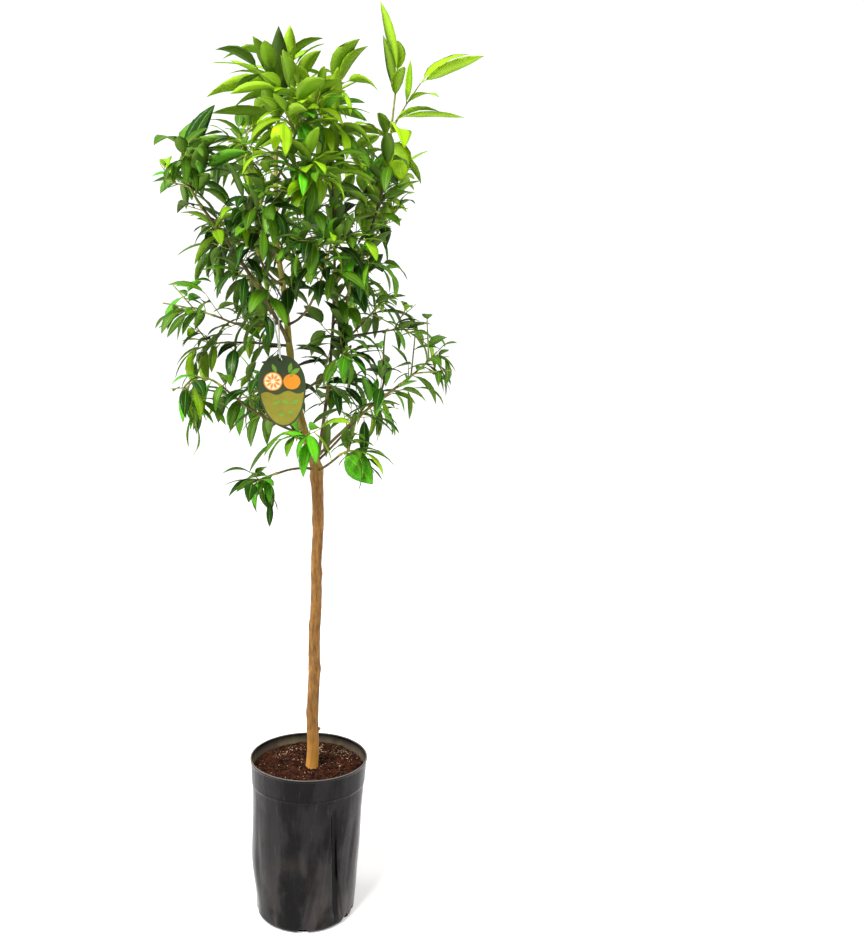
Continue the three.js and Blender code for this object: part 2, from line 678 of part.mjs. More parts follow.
// One mass: its stem, twigs that leave it in a spiral, and leaves in a spiral on each of them
function grow(name) {
  const mass = MASSES[name];
  const draw = drawsFrom(mass.seed);
  const stem = stems[name];
  const centre = stem.points[0].clone().add(stem.points.at(-1)).divideScalar(2);
  const [twigCount, twigLength, lift] = mass.twigs;
  const [onStem, onTwig, leafLength] = mass.leaves;
  const [sag, curl] = mass.habit;
  const twigFoot = Math.min(TWIG_RADIUS[0], stem.foot * TWIG_THICKEST);
  const shoots = [{ ...stem, tip: STEM_TIP, leaves: onStem, from: STEM_LEAVES_FROM }];
  if (mass.side) {
    const { point, heading } = placeOn(stem, mass.side.share);
    const last = pointing(radians(mass.side.heading), radians(mass.side.rise));
    const first = last.clone().addScaledVector(heading, 0.5).normalize();
    const path = shootPath(point, first, last, mass.side.length, TWIG_STEPS);
    shoots.push({
      ...path, foot: twigFoot, tip: TWIG_RADIUS[1], leaves: SIDE_LEAVES, from: SIDE_LEAVES_FROM,
    });
  }
  let turn = draw(0, 2 * Math.PI);
  for (let twig = 0; twig < twigCount; twig += 1) {
    const span = TWIG_SPAN[1] - TWIG_SPAN[0];
    const share = TWIG_SPAN[0] + span * (twig + draw(...TWIG_STAGGER)) / twigCount;
    const length = twigLength * draw(...TWIG_LENGTHS);
    const angle = radians(draw(...TWIG_ANGLE));
    turn += radians(GOLDEN_ANGLE) + draw(...TWIG_TURNS);
    const { point, heading } = placeOn(stem, share);
    const first = tilted(heading, angle, turn);
    const last = first.clone().add(vector(0, 0, lift)).normalize();
    const path = shootPath(point, first, last, length, TWIG_STEPS);
    if (twigFits(path, name)) {
      shoots.push({
        ...path, foot: twigFoot, tip: TWIG_RADIUS[1], leaves: onTwig, from: TWIG_LEAVES_FROM,
      });
    }
  }
  const wood = shoots.flatMap(({ points }) => (
    points.slice(1).map((end, place) => [points[place], end])
  ));
  const grown = [];
  const byHand = [
    ...(mass.placed ?? []).map((row) => leafByHand(shoots[0], row)),
    ...(mass.onSide ?? []).map((row) => leafByHand(shoots[1], row)),
  ];
  for (const leaf of byHand) {
    if (fits(leaf, name, centre, grown, wood)) {
      grown.push(leaf);
    }
  }
  for (const shoot of shoots) {
    turn = draw(0, 2 * Math.PI);
    for (let place = 0; place < shoot.leaves; place += 1) {
      const share = shoot.from + (1 - shoot.from) * place / (shoot.leaves - 1);
      const { point, heading } = placeOn(shoot, share);
      const angles = place === shoot.leaves - 1 ? END_LEAF_ANGLE : LEAF_ANGLE;
      const length = leafLength * draw(...LEAF_LENGTHS);
      const width = LEAF_WIDTH * draw(...LEAF_WIDTHS);
      turn += radians(GOLDEN_ANGLE) + draw(...LEAF_TURNS);
      for (let attempt = 0; attempt < TRIES; attempt += 1) {
        const towards = tilted(heading, radians(draw(...angles)), turn);
        const fall = radians(sag * draw(...LEAF_SAGS));
        const leaf = leafFrom(
          point,
          Math.atan2(towards.y, towards.x),
          Math.max(STEEPEST_FALL, Math.asin(THREE.MathUtils.clamp(towards.z, -1, 1)) - fall),
          radians(curl * draw(...LEAF_CURLS)),
          radians(draw(...LEAF_ROLLS)),
          length,
          width,
        );
        if (fits(leaf, name, centre, grown, wood)) {
          grown.push(leaf);
          break;
        }
        turn += TURN_OF_RETRY;
      }
    }
  }
  return { shoots, leaves: grown };
}

// Leaf blade: flat halves on top, folded at the widest place, and a keel under the midrib
function bladeOf(leaf) {
  const down = leaf.side.clone().cross(leaf.first);
  const corners = [
    leaf.root.clone().addScaledVector(leaf.first, -LEAF_SUNK),
    leaf.middle.clone().addScaledVector(leaf.side, -leaf.width / 2),
    leaf.middle.clone().addScaledVector(leaf.side, leaf.width / 2),
    leaf.middle.clone().addScaledVector(down, leaf.length * LEAF_KEEL),
    leaf.tip,
  ];
  const [root, left, right, keel, tip] = corners.keys();
  const geometry = new THREE.BufferGeometry().setFromPoints(corners);
  geometry.setIndex([
    root, left, right, left, tip, right,
    root, right, keel, root, keel, left,
    right, tip, keel, keel, tip, left,
  ]);
  return geometry;
}

function massGeometry(name) {
  const { shoots, leaves } = grow(name);
  const parts = shoots.map(({ points, foot, tip }) => {
    const steps = points.length - 1;
    return tube(points, points.map((_, place) => lerp(foot, tip, place / steps)), 3);
  });
  parts.push(...leaves.map(bladeOf));
  const joined = parts.map(solidOf).reduce((whole, part) => whole.add(part));
  return geometryOf(largestPiece(joined));
}

// Limbs, each cut by the swollen limbs that were made before it and lie near it
function limbSolid({ points, radii }, swell) {
  const sides = points === paths.trunk.points ? TRUNK_SIDES : BOUGH_SIDES;
  return solidOf(tube(points, radii.map((radius) => radius + swell), sides));
}

function stubSolid() {
  const start = pointAtHeight(paths.trunk, STUB.z);
  const rise = pointing(radians(STUB.heading), radians(STUB.rise));
  const end = start.clone().addScaledVector(rise, STUB.length);
  return solidOf(tube([start, end], [STUB.foot, STUB.tip], 6));
}

// Pot wall: the radius of its outside at a height and a heading
function potRadius(z, heading) {
  const collarFoot = POT_HEIGHT - COLLAR_HEIGHT;
  const taper = lerp(POT_FOOT_RADIUS, POT_RIM_RADIUS - RIM_ROLL, z / POT_HEIGHT);
  const collar = z > collarFoot ? COLLAR_STEP : 0;
  const towardsBulge = (((heading - BULGE.heading) % 360) + 540) % 360 - 180;
  const bulge = BULGE.depth * Math.exp(-((towardsBulge / BULGE.wide) ** 2)
    - ((z - BULGE.z) / BULGE.tall) ** 2);
  const down = (CREASE.top - z) / (CREASE.top - CREASE.bottom);
  const creaseAt = CREASE.heading + CREASE.lean * down;
  const towardsCrease = (((heading - creaseAt) % 360) + 540) % 360 - 180;
  const inCrease = down > 0 && down < 1 ? Math.sin(Math.PI * down) : 0;
  const crease = CREASE.depth * inCrease * Math.exp(-((towardsCrease / CREASE.wide) ** 2));
  return taper + collar + bulge - crease;
}

function potRing(z, inset, height = z) {
  const ring = [];
  for (let side = 0; side < POT_SIDES; side += 1) {
    const heading = 360 * side / POT_SIDES;
    const radius = potRadius(z, heading) - inset;
    ring.push(pointing(radians(heading), 0).multiplyScalar(radius).setZ(height));
  }
  return ring;
}

function potGeometry() {
  const collarFoot = POT_HEIGHT - COLLAR_HEIGHT;
  const rings = [0, 0.5, 1].map((share) => {
    const turn = share * Math.PI / 2;
    const inset = FOOT_ROUND * (1 - Math.sin(turn));
    return potRing(FOOT_ROUND, inset, FOOT_ROUND * (1 - Math.cos(turn)));
  });
  rings.push(...WALL_HEIGHTS.map((z) => potRing(z, 0)));
  rings.push(potRing(collarFoot, 0));
  rings.push(potRing(collarFoot + COLLAR_STEP, 0));
  rings.push(potRing(POT_HEIGHT - RIM_LIP[0], 0));
  rings.push(potRing(POT_HEIGHT - RIM_LIP[1], -RIM_ROLL));
  rings.push(potRing(POT_HEIGHT, -RIM_ROLL));
  rings.push(potRing(POT_HEIGHT, POT_WALL));
  rings.push(potRing(collarFoot + COLLAR_STEP, POT_WALL));
  rings.push(potRing(collarFoot, POT_WALL));
  rings.push(...WALL_HEIGHTS.toReversed().map((z) => potRing(z, POT_WALL)));
  rings.push(potRing(FOOT_ROUND, POT_WALL));
  rings.push(potRing(FOOT_ROUND, FOOT_ROUND, POT_WALL));
  let pot = solidOf(skin(rings));
  for (const heading of NOTCH_HEADINGS) {
    const cutter = new THREE.BoxGeometry(3 * FOOT_ROUND, NOTCH_WIDTH, 2 * NOTCH_HEIGHT);
    cutter.translate(potRadius(0, heading) + FOOT_ROUND / 2, 0, 0);
    cutter.rotateZ(radians(heading));
    pot = pot.subtract(solidOf(cutter));
  }
  return geometryOf(largestPiece(pot));
}

// Soil: fills the pot clear of its wall, with an uneven top and a flat pad under the trunk
function soilGeometry() {
  const draw = drawsFrom(SOIL_SEED);
  const inside = POT_WALL + GAP;
  const rings = [potRing(FOOT_ROUND, FOOT_ROUND + inside, POT_WALL + GAP)];
  rings.push(potRing(FOOT_ROUND + GAP, inside + GAP));
  rings.push(...WALL_HEIGHTS.map((z) => potRing(z, POT_WALL + SOIL_WALL_GAP)));
  rings.push(potRing(POT_HEIGHT - COLLAR_HEIGHT, inside + COLLAR_STEP));
  const trunkFoot = vector(TRUNK[0].x, 0, 0);
  for (const share of [1, SOIL_RING_SHARE]) {
    const ring = potRing(SOIL_LEVEL, inside, 0).map((edge) => {
      const point = trunkFoot.clone().lerp(edge, share);
      const mound = SOIL_MOUND * Math.sin(Math.PI * (1 - share)) ** 2;
      return point.setZ(SOIL_LEVEL - GAP + mound + draw(-SOIL_BUMP, SOIL_BUMP));
    });
    rings.push(ring);
  }
  rings.push(potRing(SOIL_LEVEL, 0, 0).map((edge) => (
    edge.setLength(SOIL_PAD).add(trunkFoot).setZ(SOIL_LEVEL - GAP)
  )));
  return geometryOf(solidOf(skin(rings)));
}

// Tag: an egg outline with a hole near its top, upright and facing the front
function tagGeometry() {
  const top = TAG.height * (1 - TAG_WIDEST);
  const bottom = TAG.height * TAG_WIDEST;
  const outline = [];
  for (let step = 0; step < TAG_POINTS; step += 1) {
    const turn = 2 * Math.PI * step / TAG_POINTS;
    const reach = Math.sin(turn) > 0 ? top : bottom;
    outline.push(new THREE.Vector2(TAG.width / 2 * Math.cos(turn), reach * Math.sin(turn)));
  }
  const shape = new THREE.Shape(outline);
  const hole = new THREE.Path();
  hole.absarc(0, top - TAG_HOLE.below_top, TAG_HOLE.radius, 0, 2 * Math.PI, true);
  shape.holes.push(hole);
  const geometry = new THREE.ExtrudeGeometry(shape, {
    depth: TAG.thickness, bevelEnabled: false, curveSegments: 5,
  });
  geometry.translate(0, -top + TAG_HOLE.below_top, -TAG.thickness / 2);
  geometry.rotateZ(radians(TAG.tilt));
  geometry.rotateX(Math.PI / 2);
  return geometry;
}

// Strap: a narrow loop over the upper left bough and through the tag's hole, turned on the way
function strapPlace() {
  const { points } = paths.upper_left_bough;
  const headings = points.slice(1).map((end, place) => end.clone().sub(points[place]).normalize());
  const { point, heading } = placeOn({ points, headings }, STRAP.bough_share);
  return { top: point, across: vector(-heading.y, heading.x, 0).normalize() };
}

function strapGeometry() {
  const { top, across } = strapPlace();
  const seat = vector(TAG_HOLE.x, TAG_HOLE.y, TAG_HOLE.z + TAG_HOLE.seat + STRAP.half_span);
  const rings = [];
  for (const [centre, sideways, from, height] of [
    [top, across, 0, STRAP.crown],
    [seat, vector(0, -1, 0), 1, STRAP.half_span],
  ]) {
    const wide = vector(0, 0, 1).cross(sideways);
    for (let step = 0; step <= STRAP_ARC_STEPS; step += 1) {
      const turn = Math.PI * (from + step / STRAP_ARC_STEPS);
      const outward = sideways.clone().multiplyScalar(Math.cos(turn)).setZ(Math.sin(turn));
      const middle = centre.clone()
        .addScaledVector(sideways, STRAP.half_span * Math.cos(turn))
        .add(vector(0, 0, height * Math.sin(turn)));
      rings.push([[-0.5, -0.5], [0.5, -0.5], [0.5, 0.5], [-0.5, 0.5]].map(([out, aside]) => (
        middle.clone()
          .addScaledVector(outward, out * STRAP.thickness)
          .addScaledVector(wide, aside * STRAP.width)
      )));
    }
  }
  const index = [];
  rings.forEach((ring, place) => {
    const next = (place + 1) % rings.length;
    for (let corner = 0; corner < ring.length; corner += 1) {
      const a = place * ring.length + corner;
      const b = place * ring.length + (corner + 1) % ring.length;
      const c = next * ring.length + (corner + 1) % ring.length;
      const d = next * ring.length + corner;
      index.push(a, b, c, a, c, d);
    }
  });
  const geometry = new THREE.BufferGeometry().setFromPoints(rings.flat());
  geometry.setIndex(index);
  return geometry;
}

// The whole plant
const tree = new THREE.Group();
tree.name = 'potted_mandarin_tree';

function addPiece(name, geometry, colour, roughness) {
  const material = new THREE.MeshStandardMaterial({ color: colour, roughness, metalness: 0 });
  const piece = new THREE.Mesh(geometry, material);
  piece.name = name;
  tree.add(piece);
  return piece;
}

addPiece('pot', potGeometry(), COLOURS.pot, 0.5);
addPiece('soil', soilGeometry(), COLOURS.soil, 0.95);

const trunk = limbSolid(paths.trunk, 0).add(stubSolid());
addPiece('trunk', geometryOf(trunk), COLOURS.bark, 0.85);

const made = [limbSolid(paths.trunk, LIMB_CUT)];
for (const name of Object.keys(BOUGHS)) {
  const cut = made.reduce((rest, other) => rest.subtract(other), limbSolid(paths[name], 0));
  addPiece(name, geometryOf(largestPiece(cut)), COLOURS.bark, 0.85);
  made.push(limbSolid(paths[name], LIMB_CUT));
}

for (const name of Object.keys(MASSES)) {
  const young = name.startsWith('crest') || name === 'top_right';
  addPiece(`${name}_foliage`, massGeometry(name), young ? COLOURS.young_leaf : COLOURS.leaf, 0.5);
}

const tag = addPiece('label_tag', tagGeometry(), COLOURS.tag, 0.4);
tag.position.set(TAG_HOLE.x, TAG_HOLE.y, TAG_HOLE.z);
addPiece('label_strap', strapGeometry(), COLOURS.strap, 0.6);

export default tree;
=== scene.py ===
"""Potted mandarin orange tree: its looks, built round the model that carries them.

Lengths in the tables are in millimetres and angles in degrees. A heading of 0 is to the right
and 90 to the back, and a rise is measured up from level.
"""
import functools
import math

import bpy
import numpy as np
from bpy.props import FloatProperty, FloatVectorProperty, IntProperty, PointerProperty
from mathutils import Matrix


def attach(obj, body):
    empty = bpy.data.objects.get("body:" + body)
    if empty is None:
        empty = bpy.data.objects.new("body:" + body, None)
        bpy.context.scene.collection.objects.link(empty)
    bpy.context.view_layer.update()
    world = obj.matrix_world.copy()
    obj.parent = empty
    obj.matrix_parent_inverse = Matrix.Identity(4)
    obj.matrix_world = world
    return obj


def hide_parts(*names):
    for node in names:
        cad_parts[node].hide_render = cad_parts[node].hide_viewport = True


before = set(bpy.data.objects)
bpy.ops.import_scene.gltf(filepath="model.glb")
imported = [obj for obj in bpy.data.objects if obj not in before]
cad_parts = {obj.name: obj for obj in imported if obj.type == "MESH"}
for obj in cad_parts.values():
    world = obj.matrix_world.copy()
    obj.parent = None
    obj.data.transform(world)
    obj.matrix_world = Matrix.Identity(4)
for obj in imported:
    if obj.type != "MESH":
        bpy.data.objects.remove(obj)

bl_info = {
    "name": "Potted mandarin tree",
    "version": (1, 0, 0),
    "blender": (4, 5, 0),
    "location": "3D View > Sidebar > Potted Tree",
    "description": "Builds the pot, soil, wood, leaves and hang tag of a potted mandarin tree",
    "category": "Object",
}

MM = 0.001

# Pot: headings of the drain notches, their width, height and depth, and the bulge of the wall
NOTCH_HEADINGS = (-168, -93, -36, -18, 40, 92, 146)
NOTCH_SIZE = (20, 13, 9)
BULGE = {"z": 112, "heading": 182, "depth": 6.5, "tall": 62, "wide": 46}

# Folds of the pot's wall, the crease in front first: top, bottom, heading at the top, how far it
# leans on the way down, depth and width
FOLDS = (
    (252, 6, -64, 13, 8, 3.2), (196, 18, -70, -9, -2.6, 4), (150, 8, -61, 6, 3.4, 1.6),
    (120, 8, -55, 12, 2.6, 1.6), (110, 12, -78, -12, 1.8, 3), (150, 30, -112, 8, 1.6, 6),
    (212, 60, -38, -6, 1.8, 8), (230, 90, -142, 5, -1.6, 9), (240, 60, -92, 14, 1.2, 7),
    (200, 40, 60, 10, 2, 7), (220, 30, 128, -8, 2.4, 5),
)

# Skin of the pot: columns round it, how far the underside runs in, heights of rows over the
# collar's foot, how tall its step is, radius of the lip, the rows that notches cut, and how soft
# their edge is
POT_SIDES = 540
UNDERSIDE = 82
COLLAR_ROWS = (0.5, 1.0, 1.6, 3.0)
COLLAR_SLOPE = 1.6
LIP = 2.2
NOTCHED_ROWS = 13
NOTCH_EDGE = 0.8

# Heights over which the folds come in above the foot and go out at the collar, and how far over
# the collar's foot they end
FADE_IN = 40
FADE_OUT = 30
FADE_OVER = 6

# Soil: its level, columns round it, heights of the rows on its side, gap to the wall, rings on
# its top, and the share, size and seed of each kind of lump, drawn on a square grid of cells
SOIL_LEVEL = 286
SOIL_SIDES = 240
SOIL_ROWS = (14, 60, 120, 180, 240, 258, 272)
SOIL_GAP = 0.4
SOIL_RINGS = 60
LUMP_KINDS = ((0.6, 17, 3), (0.4, 7, 4), (0.25, 4, 5))
LUMP_CELLS = 64

# Crumbs on the soil: how far out they lie, evenly strewn or in a drift by the wall, and a drift's
# spread. A kind is one in so many of the number set, with a seed, sizes, a flatness and the
# heading of its drift.
CRUMBS_OUT = 102
DRIFT_OUT = (70, 103)
DRIFT_SPREAD = 16
DARK_CRUMBS = (1, 21, (1.6, 5), 0.7, None)
PALE_CRUMBS = ((5, 22, (1, 3), 0.6, None), (6, 23, (1.4, 4), 0.4, 62), (14, 24, (1.2, 3), 0.4, 124))

# Trunk: height, sideways place and radius, from the soil to the tip of the leader. Then the steps
# from each to the next, the skin's columns and its rows in a step, how far the foot is sunk, the
# waist over the soil, and the stub of a dead twig.
TRUNK = (
    (SOIL_LEVEL, 6, 14), (322, 6, 11.2), (480, 5, 11), (700, 6, 9.7), (850, 3, 11),
    (905, -15, 7.8), (1033, -46, 6.1), (1125, -56, 5.3), (1265, -77, 4.3), (1360, -81, 3.9),
    (1440, -80, 3.4),
)
TRUNK_STEPS = 2
TRUNK_SIDES = 48
TRUNK_ROWS = 28
TRUNK_SUNK = 6
WAIST = {"depth": 1.4, "tall": 16, "uneven": 0.3}
STUB = {"z": 344, "heading": -8, "rise": 60, "length": 26, "foot": 3.6, "tip": 2.4, "sides": 14}

# Knots and leaf scars on the trunk: height, heading, height of the swelling, and its spread
KNOTS = (
    (769, 176, 1.6, 9), (716, -30, 1.0, 8), (667, 4, 1.7, 10), (620, -140, 0.9, 8),
    (567, -172, 1.5, 9), (522, -60, 0.9, 8), (480, 12, 1.4, 10), (440, -96, 1.3, 6),
    (396, 170, 1.5, 10), (352, -120, 1.2, 9), (848, -160, 2.4, 12), (862, 20, 2.6, 12),
    (834, -70, 1.8, 10), (1076, -80, 2.2, 9),
)

# Boughs by name: the limb each leaves and at what height, the heading and rise that it starts
# with and ends with, its length, and its radius at the foot and the tip
BOUGHS = {
    "centre": ("trunk", 862, (45, 77), (-126, 80), 531, 3.4, 2.3),
    "upper_left": ("trunk", 1092, (-121, 45), (-183, 51), 279, 3.7, 2.4),
    "left_upper": ("trunk", 1245, (148, 24), (174, 3), 73, 2.4, 2),
    "left_mid": ("trunk", 1132, (-159, -25), (-178, 25), 130, 2.4, 1.8),
    "left_inner": ("trunk", 1085, (144, 4), (196, -2), 112, 2.4, 1.9),
    "left_low": ("trunk", 925, (-150, 16), (-170, 41), 177, 2.4, 2),
    "low_left": ("trunk", 862, (-151, 13), (-175, -22), 73, 2.4, 2),
    "right_low": ("trunk", 878, (-23, 49), (-9, 37), 211, 2.9, 2.1),
    "right_foot": ("trunk", 858, (-61, 20), (-46, 37), 79, 2.4, 2),
    "right_rise": ("right_low", 980, (47, 26), (202, 79), 101, 2.2, 1.8),
    "right_mid": ("centre", 1128, (-58, 23), (-88, 42), 90, 2.4, 2),
    "right_twig": ("centre", 1100, (13, 12), (-8, 10), 93, 2.3, 1.8),
    "right_upper": ("centre", 1168, (-22, 55), (-21, 87), 304, 2.7, 2.1),
    "right_high": ("centre", 1204, (35, 42), (-6, 52), 112, 2.4, 2),
    "centre_front": ("trunk", 1122, (-53, 12), (-61, 55), 109, 2.4, 2),
    "left_front": ("trunk", 1192, (-127, 13), (-107, 45), 92, 2.4, 2),
    "low_front": ("trunk", 868, (-102, 21), (-104, 58), 65, 2.4, 2),
    "high_front": ("centre", 1278, (-121, 16), (-110, 46), 96, 2.4, 2),
    "crest_front": ("trunk", 1372, (-69, 24), (-47, 62), 87, 2.4, 2),
    "back_high_right": ("centre", 1262, (54, 38), (54, 50), 104, 2.4, 2),
    "back_low_left": ("trunk", 898, (126, 32), (137, 41), 125, 2.4, 2),
    "back_low_right": ("trunk", 872, (49, 29), (45, 39), 134, 2.4, 2),
    "back_mid_left": ("trunk", 1148, (121, 22), (123, 30), 110, 2.4, 2),
    "back_mid_right": ("centre", 1082, (50, 22), (53, 35), 110, 2.4, 2),
    "back_centre": ("trunk", 1232, (71, 22), (67, 44), 103, 2.4, 2),
    "back_high_left": ("trunk", 1336, (124, 26), (127, 45), 94, 2.4, 2),
    "inner_low": ("trunk", 1000, (-22, 24), (-38, 44), 84, 2.4, 2),
}
BOUGH_STEP = 38
FEWEST_BOUGH_STEPS = 3

# Skin of each kind of wood: sides, rows between two of its points, depth of its furrows, and
# swelling at its foot. A path that bends by less than the sine given counts as straight.
WOOD = {
    "bough": (14, 7, 0.14, 0.55),
    "stem": (8, 5, 0.06, 0.5),
    "twig": (8, 5, 0.06, 0.5),
    "fine": (6, 3, 0.06, 0.5),
}
STRAIGHT = 0.05

# Rings of leaf scars: the step between two, the place of the first, spread and share of the relief
TRUNK_SCARS = (31, 15, 2.4, 0.4)
WOOD_SCARS = (27, 13, 2.5, 1.2)


def mass(seed, stem, twigs, leaves, habit, room, finer, limb=None, placed=(), side=None,
         on_side=()):
    """One mass of foliage, on the limb with its own name where none is given.

    stem is its length, last heading and last rise; twigs their number, length and lift; leaves
    their number on the stem and on each twig, and their length; habit how much they sag and
    curl; room their reach and the space that the mass takes from its neighbours. finer is the
    scene's own: a seed, and how many side twigs leave the stem and each twig, many in the middle
    of the crown and few in the loose sprays round it. A placed leaf has a share along the stem,
    heading, rise, curl, roll, length, width share and kind.
    """
    return {
        "limb": limb, "seed": seed, "stem": stem, "twigs": twigs, "leaves": leaves,
        "habit": habit, "room": room, "finer": finer, "placed": placed, "side": side,
        "on_side": on_side,
    }


MASSES = {
    "crest": mass(
        5, (128, 0, 78), (4, 62, 0.2), (8, 4, 98), (6, 26), (240, 70), (14, 1, 1),
        limb="trunk",
        placed=(
            (0.95, 172, 30, 44, 20, 122, 0.29, "fresh"),
            (0.86, 170, 14, 12, -25, 136, 0.26, "young"),
            (0.7, 190, 0, 24, 35, 136, 0.27, "young"),
            (0.34, 184, 4, 14, 25, 118, 0.24, "fresh"),
            (0.45, -96, 78, 4, 6, 128, 0.29, "dark"),
            (1, 60, 36, 6, 0, 84, 0.36, "fresh"),
        ),
    ),
    "crest_front": mass(
        63, (60, 0, 50), (4, 54, 0.1), (7, 4, 84), (14, 28), (180, 50), (2, 4, 2),
        placed=(
            (1, -100, 8, 26, 10, 84, 0.36, "young"),
            (0.1, 200, -6, 30, -35, 66, 0.34, "fresh"),
        ),
    ),
    "crest_right": mass(
        43, (132, 185, 66), (4, 62, 0.1), (8, 4, 88), (14, 28), (200, 60), (17, 4, 2),
        limb="centre",
        placed=(
            (0.9, 0, 34, 6, 20, 96, 0.28, "young"),
            (0.7, -16, 24, 50, -20, 88, 0.26, "fresh"),
            (0.45, -12, -16, 22, -20, 74, 0.27, "fresh"),
            (0.2, -16, -20, 26, 20, 104, 0.22, "young"),
        ),
    ),
    "back_high_right": mass(
        17, (110, 70, 74), (4, 64, 0.1), (6, 3, 84), (16, 28), (190, 34), (6, 4, 1),
    ),
    "top_right": mass(
        53, (112, 30, 84), (0, 78, 0.5), (3, 3, 104), (4, 22), (280, 10), (5, 0, 0),
        limb="right_upper",
        placed=(
            (1, 170, 77, 6, 30, 124, 0.28, "young"),
            (0.66, 160, 78, 4, 60, 106, 0.19, "fresh"),
            (0.06, -70, 8, 66, -20, 80, 0.52, "young"),
        ),
        side=(0.1, -24, 52, 96),
        on_side=(
            (1, -14, 28, 10, -20, 118, 0.26, "young"),
            (0.55, 70, 80, 6, 60, 82, 0.2, "fresh"),
            (0.3, -8, 8, 12, -10, 116, 0.23, "young"),
        ),
    ),
    "right_high": mass(62, (64, 20, 66), (4, 60, 0.1), (7, 4, 72), (16, 28), (170, 20), (8, 3, 1)),
    "right_inner_high": mass(
        42, (90, 60, 78), (4, 62, 0), (6, 4, 72), (22, 32), (170, 14), (7, 3, 2),
        limb="right_mid",
    ),
    "upper_left": mass(
        55, (104, 90, 84), (4, 56, 0.1), (7, 4, 84), (12, 30), (190, 50), (3, 4, 2),
        placed=((0.7, 20, 72, 14, 70, 118, 0.25, "dark"),),
    ),
    "left_upper": mass(52, (60, 170, 30), (4, 58, 0), (6, 4, 76), (26, 32), (160, 26), (20, 4, 2)),
    "left_mid": mass(41, (92, 180, 6), (4, 64, 0), (9, 4, 62), (38, 22), (150, 0), (13, 2, 1)),
    "left_inner": mass(40, (76, 184, -34), (4, 60, 0), (8, 3, 66), (34, 26), (140, 0), (7, 3, 1)),
    "left_low": mass(69, (104, 200, -80), (4, 64, -0.3), (7, 3, 70), (34, 26), (160, 0), (16, 1, 1)),
    "low_left": mass(24, (46, 190, -24), (2, 50, 0), (6, 3, 68), (30, 26), (140, 0), (20, 3, 1)),
    "right_low": mass(47, (92, 5, 48), (4, 72, 0), (8, 3, 68), (30, 28), (180, 0), (11, 2, 0)),
    "right_foot": mass(
        39, (46, -20, -10), (3, 48, 0.3), (5, 3, 64), (16, 26), (150, 0), (16, 2, 1),
        placed=((0.6, -28, -8, 44, -10, 82, 0.36, "young"),),
    ),
    "right_rise": mass(45, (56, 60, 74), (4, 60, 0.1), (7, 3, 66), (26, 30), (150, 0), (3, 1, 0)),
    "right_twig": mass(46, (62, -10, 0), (3, 56, 0), (7, 3, 62), (28, 28), (140, 0), (4, 1, 1)),
    "centre_front": mass(43, (104, -60, 78), (4, 64, 0), (8, 4, 76), (22, 30), (170, 24), (12, 6, 2)),
    "left_front": mass(40, (96, 200, 78), (4, 64, 0), (8, 4, 76), (26, 32), (170, 30), (18, 5, 2)),
    "low_front": mass(23, (40, -80, 40), (3, 50, 0), (7, 3, 68), (24, 28), (140, 0), (10, 3, 1)),
    "high_front": mass(21, (80, -100, 60), (4, 62, 0), (8, 4, 78), (20, 30), (170, 40), (15, 6, 2)),
    "back_low_left": mass(61, (84, 130, 14), (4, 66, -0.1), (6, 3, 68), (28, 28), (160, 0), (9, 3, 2)),
    "back_low_right": mass(
        43, (84, 48, 16), (4, 66, -0.1), (6, 3, 68), (28, 28), (160, 0), (12, 2, 1),
    ),
    "back_mid_left": mass(55, (88, 118, 36), (4, 66, 0), (6, 3, 76), (26, 30), (170, 10), (3, 3, 1)),
    "back_mid_right": mass(55, (88, 50, 34), (4, 66, 0), (6, 3, 76), (26, 30), (170, 10), (14, 3, 1)),
    "back_centre": mass(19, (110, 95, 60), (4, 66, 0), (6, 3, 76), (22, 30), (170, 20), (14, 4, 2)),
    "back_high_left": mass(
        19, (100, 120, 72), (4, 66, 0.1), (6, 3, 84), (16, 28), (190, 34), (5, 4, 2),
    ),
    "inner_low": mass(62, (56, 10, 40), (4, 56, 0), (8, 4, 70), (28, 28), (150, 0), (20, 3, 1)),
}

# Draws: the state is multiplied, shifted and cut to its range each time
DRAW_START = 2654435761
DRAW_FACTOR = 1664525
DRAW_SHIFT = 1013904223
DRAW_RANGE = 4294967296

# Growth rule. A pair is a range that the rule draws from, or a first and a last value.
GAP = 0.3
GOLDEN_ANGLE = 137.5
STEM_STEPS = 4
TWIG_STEPS = 2
STEM_TIP = 1.3
TWIG_RADIUS = (1.6, 1.1)
TWIG_THICKEST = 0.7
TWIG_SPAN = (0.18, 0.8)
TWIG_STAGGER = (0.1, 0.9)
TWIG_ANGLE = (42, 68)
TWIG_LENGTHS = (0.8, 1.2)
TWIG_TURNS = (-0.5, 0.5)
STEM_LEAVES_FROM = 0.22
TWIG_LEAVES_FROM = 0.3
SIDE_LEAVES_FROM = 0.6
SIDE_LEAVES = 2
LEAF_ANGLE = (42, 70)
END_LEAF_ANGLE = (10, 25)
LEAF_TURNS = (-0.35, 0.35)
LEAF_LENGTHS = (0.78, 1.14)
LEAF_WIDTHS = (0.85, 1.2)
LEAF_SAGS = (0.6, 1.3)
LEAF_CURLS = (0.5, 1.5)
LEAF_ROLLS = (-35, 35)
STEEPEST_FALL = -1.35
LEAF_WIDTH = 0.28
LEAF_WIDEST = 0.45
LEAF_SPREAD = 0.2
TURN_OF_RETRY = 1.1
SIDE_BEND = 0.5
TRIES = 6
PETIOLE = 0.12
CELL_GAP = 3.2
LEAF_LIMB_GAP = 4
TWIG_LIMB_GAP = 6
PLACES_ALONG = (0.12, 0.25, 0.38, 0.5, 0.62, 0.74, 0.87, 1)
PLACES_ACROSS = (-1, -0.5, 0, 0.5, 1)
CLEAR_VIEW = {"left": -104, "right": -14, "bottom": 938, "top": 1070, "behind": -30}

